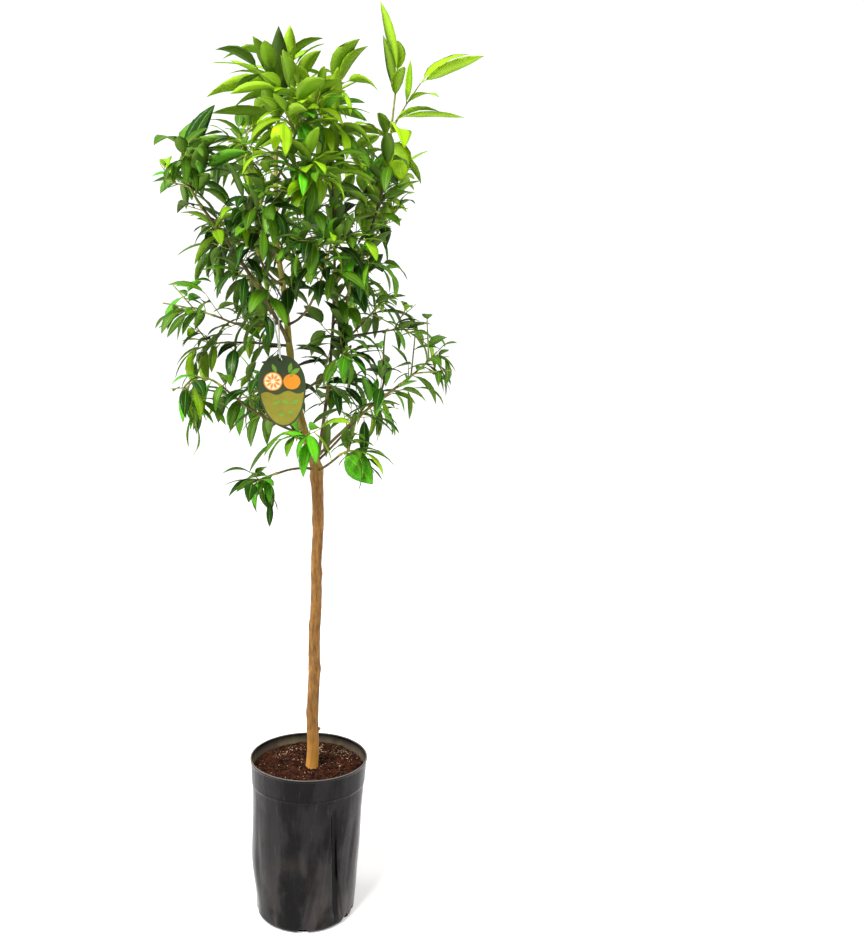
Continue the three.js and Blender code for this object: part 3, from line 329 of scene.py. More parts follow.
# Outline of the crown: height, and how far it reaches to the left and to the right
CROWN_OUTLINE = (
    (750, -80, 30), (820, -160, 40), (870, -230, 134), (930, -230, 220), (1000, -258, 246),
    (1100, -272, 254), (1150, -276, 200), (1220, -250, 136), (1270, -222, 124),
    (1340, -282, 164), (1430, -252, 196), (1470, -222, 204), (1478, -220, 276),
    (1620, -190, 276), (1690, -10, 130),
)

# Finer growth, with pairs as above
FINE_SPAN = (0.12, 0.96)
FINE_LENGTHS = (22, 42)
FINE_ANGLE = (36, 66)
FINE_RADIUS = (0.9, 0.6)
FINE_LEAVES = 3
FINE_LEAVES_FROM = 0.35
FINE_LEAF_LENGTHS = (0.62, 0.98)
FINE_SPREAD = 0.1
FINE_NEAR = 150
FINE_TRIES = 8
FINE_LIFT = 0.15

# Limbs with spurs on their bare wood, each with the height that these start at
SPUR_LIMBS = {
    "trunk": 1130, "centre": 950, "upper_left": 1120, "right_upper": 1200,
    "right_mid": 1100, "back_centre": 1200, "left_mid": 1040,
    "left_inner": 1040, "left_low": 900, "right_low": 930,
    "back_low_left": 930, "back_low_right": 930, "right_rise": 1000,
    "back_mid_left": 1100, "inner_low": 1000,
}
SPUR_SEED = 11
SPUR_STEP = 26
SPUR_LENGTHS = (16, 52)
SPUR_LEAF_LENGTH = 88
SPUR_HABIT = (26, 30)
WOOD_GAP = 2

# Broad leaves that show their face to the front: mass, and what a placed leaf has
BROAD_LEAVES = (
    ("right_foot", 0.2, -40, -30, 10, 60, 84, 0.56, "bright"),
    ("top_right", 0, -30, -65, 10, 65, 78, 0.66, "young"),
)

# Leaf blade: shares along it with a row of points, places across it, how it bends, how thick it
# is, how much deeper the petiole's keel is, and how far the petiole starts inside its shoot
BLADE_ROWS = (0.045, 0.1, 0.17, 0.3, 0.45, 0.61, 0.77, 0.91)
BLADE_PLACES = (-1, -0.5, -0.07, 0.07, 0.5, 1)
BLADE_RISE = (0.7, 1.0)
BLADE_FOLDS = (0.12, 0.42)
BLADE_ARCH = 0.16
BLADE_WAVES = (0.0, 0.08)
BLADE_WAVE_COUNT = 1.6
BLADE_KEEL = 1.2
BLADE_TWISTS = (-22, 22)
BLADE_THICKNESS = 0.5
PETIOLE_RADIUS = 0.75
PETIOLE_SUNK = 1.2

# Hang tag, the share of its height below its widest line, its hole and how far that is over the
# line, and the strap
TAG = {"width": 84, "height": 127, "thickness": 0.8, "tilt": 5}
TAG_WIDEST = 0.6
TAG_HOLE = {"x": -67, "y": -37, "z": 1061, "radius": 3.5, "below_top": 8, "seat": 2.6}
HOLE_UP = TAG["height"] * (1 - TAG_WIDEST) - TAG_HOLE["below_top"]
STRAP = {"width": 3, "thickness": 0.6, "half_span": 6.2, "crown": 8.6, "bough_share": 0.2}
STRAP_ARC = 19
STRAP_SIDES = 12

# Print on the tag. The panel has a margin, a wavy top and a middle; a disc has its place across
# and up, radius, squash, height over the face and ink; the slice has its place, the length of its
# segments and how far out they start; a sprig's leaf has its place, length and heading. Plates of
# ink stand over the face by their height, and the panel is sunk into it as well.
INKS = ("ground", "panel", "fruit", "pith", "sprig")
TAG_SIDES = 96
DISC_SIDES = 40
PANEL = {
    "margin": 3, "top": -16, "wave": 3, "stretch": 6, "middle": (0, -40), "sides": 120,
    "height": 0.1, "sunk": 0.1,
}
DISCS = (
    (18, 3, 15, 0.92, 0.12, "fruit"),
    (18, 13, 2.2, 1, 0.2, "sprig"),
    (-15, 5, 16.5, 1, 0.18, "fruit"),
    (-15, 5, 14.5, 1, 0.24, "pith"),
)
SLICE = {
    "x": -15, "y": 5, "segments": 9, "turn": 12, "length": 10.5, "start": 3.2, "height": 0.32,
}
SPRIG_HEIGHT = 0.28
SPRIGS = (
    (16, 16, 20, 28), (14, 18, 19, 74), (-8, 20, 17, 112), (-18, -36, 15, 24), (-2, -30, 15, -24),
    (14, -36, 15, 24), (-10, -52, 13, -24), (6, -54, 13, 24),
)

# Studio: half the width of the floor. Then in metres the place that the lights face, and each
# light's place and size, with its power in watts.
FLOOR_REACH = 20000
LIT_PLACE = (0, 0, 1.0)
LIGHTS = {
    "key_light": ((-1.3, -2.0, 3.6), 1.2, 190),
    "left_light": ((-2.6, 0.3, 1.2), 1.4, 38),
    "right_light": ((2.6, 0.4, 1.2), 1.4, 32),
}


def linear(code):
    """Linear red, green and blue of a hexadecimal sRGB colour."""
    shares = (int(code[place:place + 2], 16) / 255 for place in (0, 2, 4))
    return tuple(s / 12.92 if s <= 0.04045 else ((s + 0.055) / 1.055) ** 2.4 for s in shares)


def colour(name, description, code):
    """Colour setting that starts at a hexadecimal sRGB colour."""
    return FloatVectorProperty(
        name=name, description=description, subtype="COLOR", size=3, min=0, max=1,
        default=linear(code),
    )


def length(name, description, value):
    """Length setting in metres, from a default in millimetres."""
    return FloatProperty(name=name, description=description, unit="LENGTH", default=value * MM)


def angle(name, description, value):
    """Angle setting in radians."""
    return FloatProperty(name=name, description=description, subtype="ANGLE", default=value)


class TreePotSettings(bpy.types.PropertyGroup):
    """Sizes and colours of the nursery pot."""

    height: length("Height", "From the flat underside to the rim", 310)
    rim_radius: length("Rim radius", "Outside radius at the rim", 110)
    foot_radius: length("Foot radius", "Outside radius at the foot", 93)
    wall: length("Wall", "Thickness of the plastic", 2)
    foot_round: length("Foot rounding", "Radius between wall and underside", 10)
    collar: length("Collar height", "Height of the band under the rim", 47)
    collar_step: length("Collar step", "How far the band stands out", 1.2)
    rim_roll: length("Rim roll", "How far the rolled rim stands out", 1.2)
    plastic: colour("Plastic", "Moulded plastic", "0c0a0c")
    haze: colour("Haze", "Grey haze and scuffs", "575152")
    dust: colour("Dust", "Dry soil rubbed into the plastic", "5b5246")
    # Inside of the rim: a dust colour lightened as painted light, standing in for light on the inner
    # wall
    lining_painted_light: colour("Lining", "Inside of the rim", "7b7355")
    # Painted highlight: a pale line round the top of the rolled rim, for the light that it catches
    edge: colour("Edge", "Worn edge of the rim", "8f8a80")


class TreeSoilSettings(bpy.types.PropertyGroup):
    """Sizes and colours of the potting soil."""

    mound: length("Mound", "Rise of the soil towards the trunk", 5)
    lumps: length("Lumps", "Height of the unevenness", 3.2)
    crumbs: IntProperty(name="Crumbs", description="Loose crumbs on top", default=1500)
    dark: colour("Dark", "Moist soil", "110704")
    brown: colour("Brown", "Dry soil and bark", "4a2512")
    fleck: colour("Fleck", "Pale mineral flecks", "d4b594")


class TreeBarkSettings(bpy.types.PropertyGroup):
    """Relief and colours of the bark."""

    relief: length("Relief", "Depth of the bark's furrows", 0.5)
    tan: colour("Tan", "Sunny side of the trunk", "97692b")
    brown: colour("Brown", "Furrows and shaded bark", "5c3c16")
    golden: colour("Golden", "Bark near the soil", "c98f40")
    green: colour("Green", "Young bark of the leader", "a0983e")
    bough: colour("Bough", "Bark of the boughs", "5a4a22")
    shoot: colour("Shoot", "Green skin of the twigs", "55661c")


class TreeLeafSettings(bpy.types.PropertyGroup):
    """Colours of the leaves, from the youngest sprays to the oldest."""

    young: colour("Young", "Newest leaves", "a2d212")
    fresh: colour("Fresh", "Fresh yellow-green leaves", "86b60e")
    bright: colour("Bright", "Clear green leaves", "54ae16")
    mid: colour("Middle", "Olive green leaves", "4f8012")
    dark: colour("Dark", "Old glossy leaves", "1f4a0e")
    under: colour("Underside", "Dull lower face", "8fae42")
    rib: colour("Midrib", "Midrib", "b3c94a")


class TreeLabelSettings(bpy.types.PropertyGroup):
    """Colours of the hang tag and its strap."""

    ground: colour("Ground", "Dark upper part of the print", "2c3d12")
    panel: colour("Panel", "Pale lower part of the print", "8b8312")
    fruit: colour("Fruit", "Orange peel and flesh", "ee8c10")
    pith: colour("Pith", "White of the fruit slice", "f0e2bd")
    sprig: colour("Sprig", "Printed leaves", "6d9c26")
    strap: colour("Strap", "Plastic strap", "d8dccb")


class TreeStageSettings(bpy.types.PropertyGroup):
    """Camera and studio."""

    camera_y: length("Camera distance", "How far the camera stands in front", 1774.479)
    camera_z: length("Camera height", "Height of the camera", 1097.518)
    yaw: angle("Yaw", "Turn to the right", 0.1208389)
    pitch: angle("Pitch", "Tilt down", 0.1345157)
    roll: angle("Roll", "Turn in the image", 0.0392154)
    lens: FloatProperty(name="Lens", description="Focal length in millimetres", default=36.606)
    floor: colour("Floor", "Pale studio floor", "fbfaf9")
    sky: colour("Background", "White behind and beside the tree", "ffffff")
    front: colour("Room", "Darker room behind the camera", "3c3c3e")


class TreeSettings(bpy.types.PropertyGroup):
    """Everything that can be set on the tree."""

    pot: PointerProperty(type=TreePotSettings)
    soil: PointerProperty(type=TreeSoilSettings)
    bark: PointerProperty(type=TreeBarkSettings)
    leaves: PointerProperty(type=TreeLeafSettings)
    label: PointerProperty(type=TreeLabelSettings)
    stage: PointerProperty(type=TreeStageSettings)


# Draws, directions and limb paths
def draws_from(seed):
    """Seeded draws: each call gives the next number between low and high."""
    state = seed * DRAW_START % DRAW_RANGE

    def draw(low, high):
        nonlocal state
        state = (state * DRAW_FACTOR + DRAW_SHIFT) % DRAW_RANGE
        return low + (high - low) * state / DRAW_RANGE

    return draw


def unit(vector):
    """Vector, or row of vectors, of length one."""
    return vector / np.linalg.norm(vector, axis=-1, keepdims=True)


def pointing(heading, rise):
    """Direction with a heading and a rise in radians."""
    level = math.cos(rise)
    return np.array([level * math.cos(heading), level * math.sin(heading), math.sin(rise)])


def turns_round(count):
    """So many even steps of a full turn, in radians."""
    return 2 * np.pi * np.arange(count) / count


def tilted(direction, angle, turn):
    """Direction tilted away from another by an angle, towards a turn round it."""
    aside = np.array([1.0, 0, 0]) if abs(direction[2]) > 0.9 else np.array([0, 0, 1.0])
    across = unit(np.cross(direction, aside))
    third = np.cross(direction, across)
    towards = across * math.cos(turn) + third * math.sin(turn)
    return direction * math.cos(angle) + towards * math.sin(angle)


def shoot_path(start, first, last, size, steps):
    """Points and headings of a shoot that turns evenly from its first direction to its last."""
    shares = (np.arange(steps) + 0.5)[:, None] / steps
    headings = unit(first * (1 - shares) + last * shares)
    points = start + np.vstack([np.zeros(3), np.cumsum(headings * size / steps, axis=0)])
    return points, headings


def smoothed(values, steps):
    """Smooth curve through values, a cubic from each to the next.

    Its slope at a value is half the step from the value before to the one after.
    """
    rows = np.asarray(values, float)
    padded = np.concatenate([2 * rows[:1] - rows[1:2], rows, 2 * rows[-1:] - rows[-2:-1]])
    a, b, c, d = (padded[shift:len(rows) - 1 + shift, None] for shift in range(4))
    t = np.arange(steps).reshape((1, -1) + (1,) * (rows.ndim - 1)) / steps
    spans = 0.5 * (2 * b + (c - a) * t + (2 * a - 5 * b + 4 * c - d) * t ** 2
                   + (3 * b - a - 3 * c + d) * t ** 3)
    return np.concatenate([spans.reshape((-1,) + rows.shape[1:]), rows[-1:]])


def point_at_height(points, z):
    """Point of a rising path at a height."""
    above = int(np.argmax(points[:, 2] >= z))
    low, high = points[above - 1], points[above]
    return low + (high - low) * (z - low[2]) / (high[2] - low[2])


def limb_paths():
    """Points and radii of the trunk and every bough."""
    rings = smoothed(TRUNK, TRUNK_STEPS)
    trunk = np.stack([rings[:, 1], np.zeros(len(rings)), rings[:, 0]], axis=1)
    paths = {"trunk": (trunk, rings[:, 2])}
    for name, (parent, z, first, last, size, foot, tip) in BOUGHS.items():
        steps = max(FEWEST_BOUGH_STEPS, int(size / BOUGH_STEP + 0.5))
        ends = [pointing(*map(math.radians, pair)) for pair in (first, last)]
        start = point_at_height(paths[parent][0], z)
        points, _ = shoot_path(start, *ends, size, steps)
        paths[name] = (points, np.linspace(foot, tip, steps + 1))
    return paths


def limb_of(name):
    """Name of the limb that carries a mass."""
    return MASSES[name]["limb"] or name


def place_on(points, headings, share):
    """Point and heading at a share of a shoot's length."""
    along = min(share * len(headings), len(headings) - 1e-9)
    step = int(along)
    return points[step] + (points[step + 1] - points[step]) * (along - step), headings[step]


def meet(edges, faces):
    """Whether an edge crosses a triangle: the crossing's shares of its sides are from 0 to 1."""
    along = (edges[:, 1] - edges[:, 0])[:, None]
    offset = edges[:, None, 0] - faces[None, :, 0]
    first = (faces[:, 1] - faces[:, 0])[None]
    second = (faces[:, 2] - faces[:, 0])[None]
    normal = np.cross(along, second)
    across = np.cross(offset, first)
    scale = (first * normal).sum(2)
    scale = np.where(np.abs(scale) < 1e-9, np.nan, scale)
    u = (offset * normal).sum(2) / scale
    v = (along * across).sum(2) / scale
    t = (second * across).sum(2) / scale
    return bool(((u >= 0) & (v >= 0) & (u + v <= 1) & (t >= 0) & (t <= 1)).any())


class Leaf:
    """A leaf: its root, its middle where it is widest, its tip, and the direction across it."""

    def __init__(self, root, heading, rise, curl, roll, size, width):
        self.first = pointing(heading, rise)
        last = pointing(heading, rise - curl)
        level = np.array([-math.sin(heading), math.cos(heading), 0])
        third = np.cross(self.first, level)
        self.side = level * math.cos(roll) + third * math.sin(roll)
        self.root = root
        self.middle = root + self.first * LEAF_WIDEST * size
        self.tip = self.middle + last * (1 - LEAF_WIDEST) * size
        self.length = size
        self.width = width * size
        base = root + (self.middle - root) * PETIOLE / LEAF_WIDEST
        left = self.middle - self.side * self.width / 2
        right = self.middle + self.side * self.width / 2
        self.faces = np.array([[base, left, right], [left, right, self.tip]])
        self.edges = np.array([
            [base, left], [base, right], [left, right], [left, self.tip], [right, self.tip],
        ])

    def points_over(self):
        """Points spread over the flat halves, row by row from the petiole to the tip."""
        shares = np.array(PLACES_ALONG)[:, None]
        near = shares <= LEAF_WIDEST
        part = np.where(near, shares / LEAF_WIDEST, (shares - LEAF_WIDEST) / (1 - LEAF_WIDEST))
        lower = self.root + (self.middle - self.root) * part
        upper = self.middle + (self.tip - self.middle) * part
        half = self.width / 2 * np.where(near, part, 1 - part)
        across = np.array(PLACES_ACROSS)[None, :, None] * half[:, None] * self.side
        return (np.where(near, lower, upper)[:, None] + across).reshape(-1, 3)


def drawn_leaf(root, direction, angles, turn, habit, size, width, draw):
    """A leaf that leaves its shoot at a drawn angle, sags and curls."""
    sag, curl = habit
    towards = tilted(direction, math.radians(draw(*angles)), turn)
    fall = math.radians(sag * draw(*LEAF_SAGS))
    rise = max(STEEPEST_FALL, math.asin(max(-1, min(1, towards[2]))) - fall)
    bend = math.radians(curl * draw(*LEAF_CURLS))
    roll = math.radians(draw(*LEAF_ROLLS))
    return Leaf(root, math.atan2(towards[1], towards[0]), rise, bend, roll, size, width)


def hides_tag(points):
    """Whether a point lies in the space before the tag."""
    view = CLEAR_VIEW
    x, y, z = points.T
    in_width = (x > view["left"]) & (x < view["right"])
    return bool((in_width & (z > view["bottom"]) & (z < view["top"]) & (y < view["behind"])).any())


def inside_outline(points):
    """Whether every point keeps within the crown's outline to the left and to the right."""
    heights, lefts, rights = np.array(CROWN_OUTLINE, float).T
    x, z = points[:, 0], points[:, 2]
    return bool(((x > np.interp(z, heights, lefts)) & (x < np.interp(z, heights, rights))).all())


@functools.cache
def crown():
    """The crown, grown once."""
    return Crown()


class Crown:
    """The crown, grown on from the limbs by the model's rule and then to finer twigs."""

    def __init__(self):
        self.paths = limb_paths()
        spans = [(p[:-1], p[1:] - p[:-1], r[:-1], r[1:]) for p, r in self.paths.values()]
        self.starts, self.alongs, self.feet, self.tips = (
            np.concatenate(column) for column in zip(*spans)
        )
        self.stems = {name: self.stem_of(name) for name in MASSES}
        holders = [self.stems[name][0][[0, 2, STEM_STEPS]] for name in MASSES]
        self.holders = np.array(holders)
        self.spreads = np.array([row["room"][1] for row in MASSES.values()], float)
        self.centres = (self.holders[:, 0] + self.holders[:, -1]) / 2
        self.reaches = np.array([row["room"][0] for row in MASSES.values()], float)
        self.shoots = []
        self.leaves = []
        for place, name in enumerate(MASSES):
            self.grow(place, name)
        self.grow_finer()

    def stem_of(self, name):
        """Points, headings and foot radius of a mass's stem, just past the tip of its limb."""
        points, radii = self.paths[limb_of(name)]
        direction = unit(points[-1] - points[-2])
        size, heading, rise = MASSES[name]["stem"]
        end = pointing(math.radians(heading), math.radians(rise))
        path = shoot_path(points[-1] + direction * GAP, direction, end, size, STEM_STEPS)
        return *path, radii[-1]

    def limb_clearance(self, points):
        """Distance of each point from the nearest limb's skin."""
        offset = points[:, None] - self.starts
        share = (offset * self.alongs).sum(2) / (self.alongs ** 2).sum(1)
        share = np.clip(share, 0, 1)
        offset = offset - share[..., None] * self.alongs
        radius = self.feet + (self.tips - self.feet) * share
        return (np.linalg.norm(offset, axis=2) - radius).min(1)

    def room_around(self, points, place):
        """How much nearer each point is to the mass's own stem than to any other."""
        apart = np.linalg.norm(points[:, None, None] - self.holders, axis=3).min(2) - self.spreads
        own = apart[:, place].copy()
        apart[:, place] = np.inf
        return apart.min(1) - own

    def within_reach(self, points):
        """Whether every point lies within the reach of some mass."""
        apart = np.linalg.norm(points[:, None] - self.centres, axis=2) - self.reaches
        return bool((apart.min(1) <= 0).all())

    def apart(self, leaf, others, spread):
        """Whether a leaf keeps its distance from others and crosses none of them."""
        if not others:
            return True
        gaps = spread * np.minimum(leaf.length, np.array([other.length for other in others]))
        middles = np.array([other.middle for other in others])
        tips = np.array([other.tip for other in others])
        alike = np.min([
            ((middles - leaf.middle) ** 2).sum(1),
            ((tips - leaf.tip) ** 2).sum(1),
            2 * ((tips - leaf.middle) ** 2).sum(1),
            2 * ((middles - leaf.tip) ** 2).sum(1),
        ], axis=0)
        if (alike < gaps ** 2).any():
            return False
        faces = np.concatenate([other.faces for other in others])
        edges = np.concatenate([other.edges for other in others])
        return not (meet(leaf.edges, faces) or meet(edges, leaf.faces))

    def fits(self, leaf, place, grown, wood):
        """Whether a leaf of the model's own rule fits in its mass."""
        if not self.apart(leaf, grown, LEAF_SPREAD) or meet(wood, leaf.faces):
            return False
        over = leaf.points_over()
        if (np.linalg.norm(over - self.centres[place], axis=1) > self.reaches[place]).any():
            return False
        if hides_tag(over) or not inside_outline(over):
            return False
        if (self.room_around(over, place) < CELL_GAP).any():
            return False
        return bool((self.limb_clearance(over[len(PLACES_ACROSS):]) >= LEAF_LIMB_GAP).all())

    def twig_fits(self, points, place):
        """Whether a twig keeps to its mass and off the limbs and the tag."""
        middles = (points[1:] + points[:-1]) / 2
        tested = np.vstack([points[1:], middles[1:]])
        roomy = (self.room_around(tested, place) >= CELL_GAP).all()
        clear = (self.limb_clearance(tested) >= TWIG_LIMB_GAP).all()
        return bool(roomy and clear) and not hides_tag(tested) and inside_outline(tested)

    def add_shoot(self, name, path, radii, leaves, leaves_from, kind):
        """Keeps a shoot and gives its number."""
        points, headings = path
        self.shoots.append({
            "mass": name, "points": points, "headings": headings, "radii": radii,
            "leaves": leaves, "from": leaves_from, "kind": kind,
        })
        return len(self.shoots) - 1

    def keep(self, leaf, shoot, kind=None):
        """Keeps a leaf that grows on a shoot, and its kind where it has one of its own."""
        leaf.shoot = shoot
        leaf.kind = kind
        self.leaves.append(leaf)

    def grow(self, place, name):
        """One mass: its stem, twigs in a spiral round it, and leaves in a spiral on each."""
        row = MASSES[name]
        draw = draws_from(row["seed"])
        own = self.grow_twigs(place, name, draw)
        wood = np.concatenate([
            np.stack([self.shoots[shoot]["points"][:-1], self.shoots[shoot]["points"][1:]], axis=1)
            for shoot in own
        ])
        grown = []

        def fits(leaf):
            return self.fits(leaf, place, grown, wood)

        placed = [(own[0], leaf) for leaf in row["placed"]]
        placed += [(own[1], leaf) for leaf in row["on_side"]]
        for shoot, leaf in placed:
            self.place_leaf(shoot, leaf, fits, grown)
        for shoot in own:
            self.grow_leaves(shoot, row["leaves"][2], LEAF_LENGTHS, row["habit"], TRIES,
                             fits, grown, draw)

    def grow_twigs(self, place, name, draw):
        """The stem of a mass and the twigs on it that fit, as numbers of shoots."""
        row = MASSES[name]
        points, headings, foot = self.stems[name]
        count, length_of_twig, lift = row["twigs"]
        on_stem, on_twig, _ = row["leaves"]
        radii = (min(TWIG_RADIUS[0], foot * TWIG_THICKEST), TWIG_RADIUS[1])
        stem = (points, headings)
        own = [self.add_shoot(name, stem, (foot, STEM_TIP), on_stem, STEM_LEAVES_FROM, "stem")]
        if row["side"]:
            share, heading, rise, size = row["side"]
            point, direction = place_on(points, headings, share)
            last = pointing(math.radians(heading), math.radians(rise))
            path = shoot_path(point, unit(last + SIDE_BEND * direction), last, size, TWIG_STEPS)
            own.append(self.add_shoot(name, path, radii, SIDE_LEAVES, SIDE_LEAVES_FROM, "twig"))
        turn = draw(0, 2 * math.pi)
        for twig in range(count):
            span = TWIG_SPAN[1] - TWIG_SPAN[0]
            share = TWIG_SPAN[0] + span * (twig + draw(*TWIG_STAGGER)) / count
            size = length_of_twig * draw(*TWIG_LENGTHS)
            angle = math.radians(draw(*TWIG_ANGLE))
            turn += math.radians(GOLDEN_ANGLE) + draw(*TWIG_TURNS)
            point, direction = place_on(points, headings, share)
            first = tilted(direction, angle, turn)
            path = shoot_path(point, first, unit(first + np.array([0, 0, lift])), size, TWIG_STEPS)
            if self.twig_fits(path[0], place):
                own.append(self.add_shoot(name, path, radii, on_twig, TWIG_LEAVES_FROM, "twig"))
        return own

    def place_leaf(self, shoot, leaf, fits, grown):
        """A listed leaf set on a shoot, kept where it fits."""
        share, *angles, size, width, kind = leaf
        path = self.shoots[shoot]
        root, _ = place_on(path["points"], path["headings"], share)
        leaf = Leaf(root, *map(math.radians, angles), size, width)
        if fits(leaf):
            grown.append(leaf)
            self.keep(leaf, shoot, kind)

    def grow_leaves(self, shoot, leaf_length, lengths, habit, tries, fits, grown, draw):
        """Leaves in a spiral along a shoot, each turned on until it fits or its tries are over."""
        path = self.shoots[shoot]
        count = path["leaves"]
        turn = draw(0, 2 * math.pi)
        for step in range(count):
            share = path["from"] + (1 - path["from"]) * step / (count - 1)
            root, direction = place_on(path["points"], path["headings"], share)
            angles = END_LEAF_ANGLE if step == count - 1 else LEAF_ANGLE
            size = leaf_length * draw(*lengths)
            width = LEAF_WIDTH * draw(*LEAF_WIDTHS)
            turn += math.radians(GOLDEN_ANGLE) + draw(*LEAF_TURNS)
            for _ in range(tries):
                leaf = drawn_leaf(root, direction, angles, turn, habit, size, width, draw)
                if fits(leaf):
                    grown.append(leaf)
                    self.keep(leaf, shoot)
                    break
                turn += TURN_OF_RETRY

    def grow_finer(self):
        """The broad leaves, side twigs on every mass's shoots, and spurs on the limbs."""
        for name, *leaf in BROAD_LEAVES:
            stem = next(n for n, shoot in enumerate(self.shoots) if shoot["mass"] == name)
            self.place_leaf(stem, leaf, lambda leaf: self.fine_leaf_fits(leaf, self.leaves), [])
        for name in MASSES:
            self.grow_side_twigs(name)
        draw = draws_from(SPUR_SEED)
        for limb, lowest in SPUR_LIMBS.items():
            self.grow_spurs(limb, lowest, draw)

    def grow_side_twigs(self, name):
        """Side twigs in a spiral along the stem of a mass and along each of its twigs."""
        row = MASSES[name]
        seed, on_stem, on_twig = row["finer"]
        draw = draws_from(seed)
        for parent in [shoot for shoot in self.shoots if shoot["mass"] == name]:
            count = on_stem if parent["kind"] == "stem" else on_twig
            turn = draw(0, 2 * math.pi)
            for place in range(count):
                span = FINE_SPAN[1] - FINE_SPAN[0]
                share = FINE_SPAN[0] + span * (place + draw(*TWIG_STAGGER)) / count
                turn += math.radians(GOLDEN_ANGLE) + draw(*TWIG_TURNS)
                point, direction = place_on(parent["points"], parent["headings"], share)
                self.add_fine(name, point, direction, turn, draw(*FINE_LENGTHS),
                              row["leaves"][2], row["habit"], draw)

    def grow_spurs(self, limb, lowest, draw):
        """Short spurs in a spiral along the bare wood of a limb, above a height."""
        points, radii = self.paths[limb]
        name = next((name for name in MASSES if limb_of(name) == limb), "crest")
        steps = np.linalg.norm(points[1:] - points[:-1], axis=1)
        travelled = np.concatenate([[0], np.cumsum(steps)])
        turn = draw(0, 2 * math.pi)
        for along in np.arange(SPUR_STEP / 2, travelled[-1], SPUR_STEP):
            step = int(np.searchsorted(travelled, along)) - 1
            direction = unit(points[step + 1] - points[step])
            point = points[step] + direction * (along - travelled[step])
            turn += math.radians(GOLDEN_ANGLE) + draw(*TWIG_TURNS)
            size = draw(*SPUR_LENGTHS) + radii[step]
            if point[2] > lowest:
                self.add_fine(name, point, direction, turn, size,
                              SPUR_LEAF_LENGTH, SPUR_HABIT, draw)

    def add_fine(self, name, point, direction, turn, size, leaf_length, habit, draw):
        """One fine twig with its leaves, where there is room for it."""
        first = tilted(direction, math.radians(draw(*FINE_ANGLE)), turn)
        last = unit(first + np.array([0, 0, FINE_LIFT]))
        path = shoot_path(point, first, last, size, TWIG_STEPS)
        tip = path[0][-1:]
        clear = self.limb_clearance(tip)[0] >= WOOD_GAP
        if hides_tag(path[0]) or not self.within_reach(tip) or not clear:
            return
        near = [leaf for leaf in self.leaves if np.abs(leaf.middle - point).max() < FINE_NEAR]
        edges = np.stack([path[0][:-1], path[0][1:]], axis=1)
        if near and meet(edges, np.concatenate([leaf.faces for leaf in near])):
            return
        shoot = self.add_shoot(name, path, FINE_RADIUS, FINE_LEAVES, FINE_LEAVES_FROM, "fine")
        self.grow_leaves(shoot, leaf_length, FINE_LEAF_LENGTHS, habit, FINE_TRIES,
                         lambda leaf: self.fine_leaf_fits(leaf, near), near, draw)

    def fine_leaf_fits(self, leaf, near):
        """Whether a leaf of the finer growth keeps within reach and off wood, tag and fellows."""
        over = leaf.points_over()
        if hides_tag(over) or not inside_outline(over) or not self.within_reach(over):
            return False
        if (self.limb_clearance(over[len(PLACES_ACROSS):]) < WOOD_GAP).any():
            return False
        return self.apart(leaf, near, FINE_SPREAD)


# Meshes: a part is its points with two pairs of numbers each, and its faces with their slots
def part(points, quads=(), triangles=(), uv=None, tint=None, slots=None):
    """One part of a mesh. slots gives the material slot of each face, quads first."""
    points = np.asarray(points, float).reshape(-1, 3)
    quads = np.asarray(quads, int).reshape(-1, 4)
    triangles = np.asarray(triangles, int).reshape(-1, 3)
    empty = np.zeros((len(points), 2))
    return {
        "points": points, "quads": quads, "triangles": triangles,
        "uv": empty if uv is None else np.asarray(uv, float).reshape(-1, 2),
        "tint": empty if tint is None else np.asarray(tint, float).reshape(-1, 2),
        "quad_slots": np.zeros(len(quads), int) if slots is None else slots[0],
        "triangle_slots": np.zeros(len(triangles), int) if slots is None else slots[1],
    }


def joined(parts):
    """Several parts as one."""
    shifts = np.cumsum([0] + [len(piece["points"]) for piece in parts[:-1]])
    whole = {}
    for key in parts[0]:
        moved = key in ("quads", "triangles")
        whole[key] = np.concatenate([
            piece[key] + (shift if moved else 0) for piece, shift in zip(parts, shifts)
        ])
    return whole


def grid_faces(rows, columns):
    """Quads between rows of points whose columns run round and close."""
    low = np.arange(rows - 1)[:, None] * columns
    column = np.arange(columns)[None]
    after = (column + 1) % columns
    high = low + columns
    quads = np.stack([low + column, low + after, high + after, high + column], axis=2)
    return quads.reshape(-1, 4)


def pole_faces(rows, columns):
    """Triangles from the first row to a pole after all rows, and from the last to the next."""
    column = np.arange(columns)
    after = (column + 1) % columns
    last = (rows - 1) * columns
    foot = np.stack([after, column, np.full(columns, rows * columns)], axis=1)
    head = np.stack([last + column, last + after, np.full(columns, rows * columns + 1)], axis=1)
    return np.concatenate([foot, head])


def closed_grid(rings, **extras):
    """Skin over rings of points, with a pole in the middle of the first ring and of the last."""
    size = rings.shape[:2]
    points = np.concatenate([rings.reshape(-1, 3), [rings[0].mean(0)], [rings[-1].mean(0)]])
    return part(points, grid_faces(*size), pole_faces(*size), **extras)


def across_path(points):
    """Two directions across a path, the first kept square to the plane that it bends in."""
    along = unit(np.gradient(points, axis=0))
    normal = np.cross(along[0], along[-1])
    if np.linalg.norm(normal) < STRAIGHT:
        aside = np.array([0, 1.0, 0]) if abs(along[0][1]) < 0.9 else np.array([1.0, 0, 0])
        normal = np.cross(along[0], aside)
    across = unit(normal - (along @ normal)[:, None] * along)
    return across, np.cross(along, across)


def tube(points, radii, sides):
    """Round tube: at each point of the path, radius times (cos turn, sin turn) across it."""
    across, third = across_path(points)
    turns = turns_round(sides)
    radii = np.broadcast_to(np.asarray(radii, float).reshape(len(points), -1), (len(points), sides))
    rings = (points[:, None] + across[:, None] * (radii * np.cos(turns))[..., None]
             + third[:, None] * (radii * np.sin(turns))[..., None])
    return closed_grid(rings)


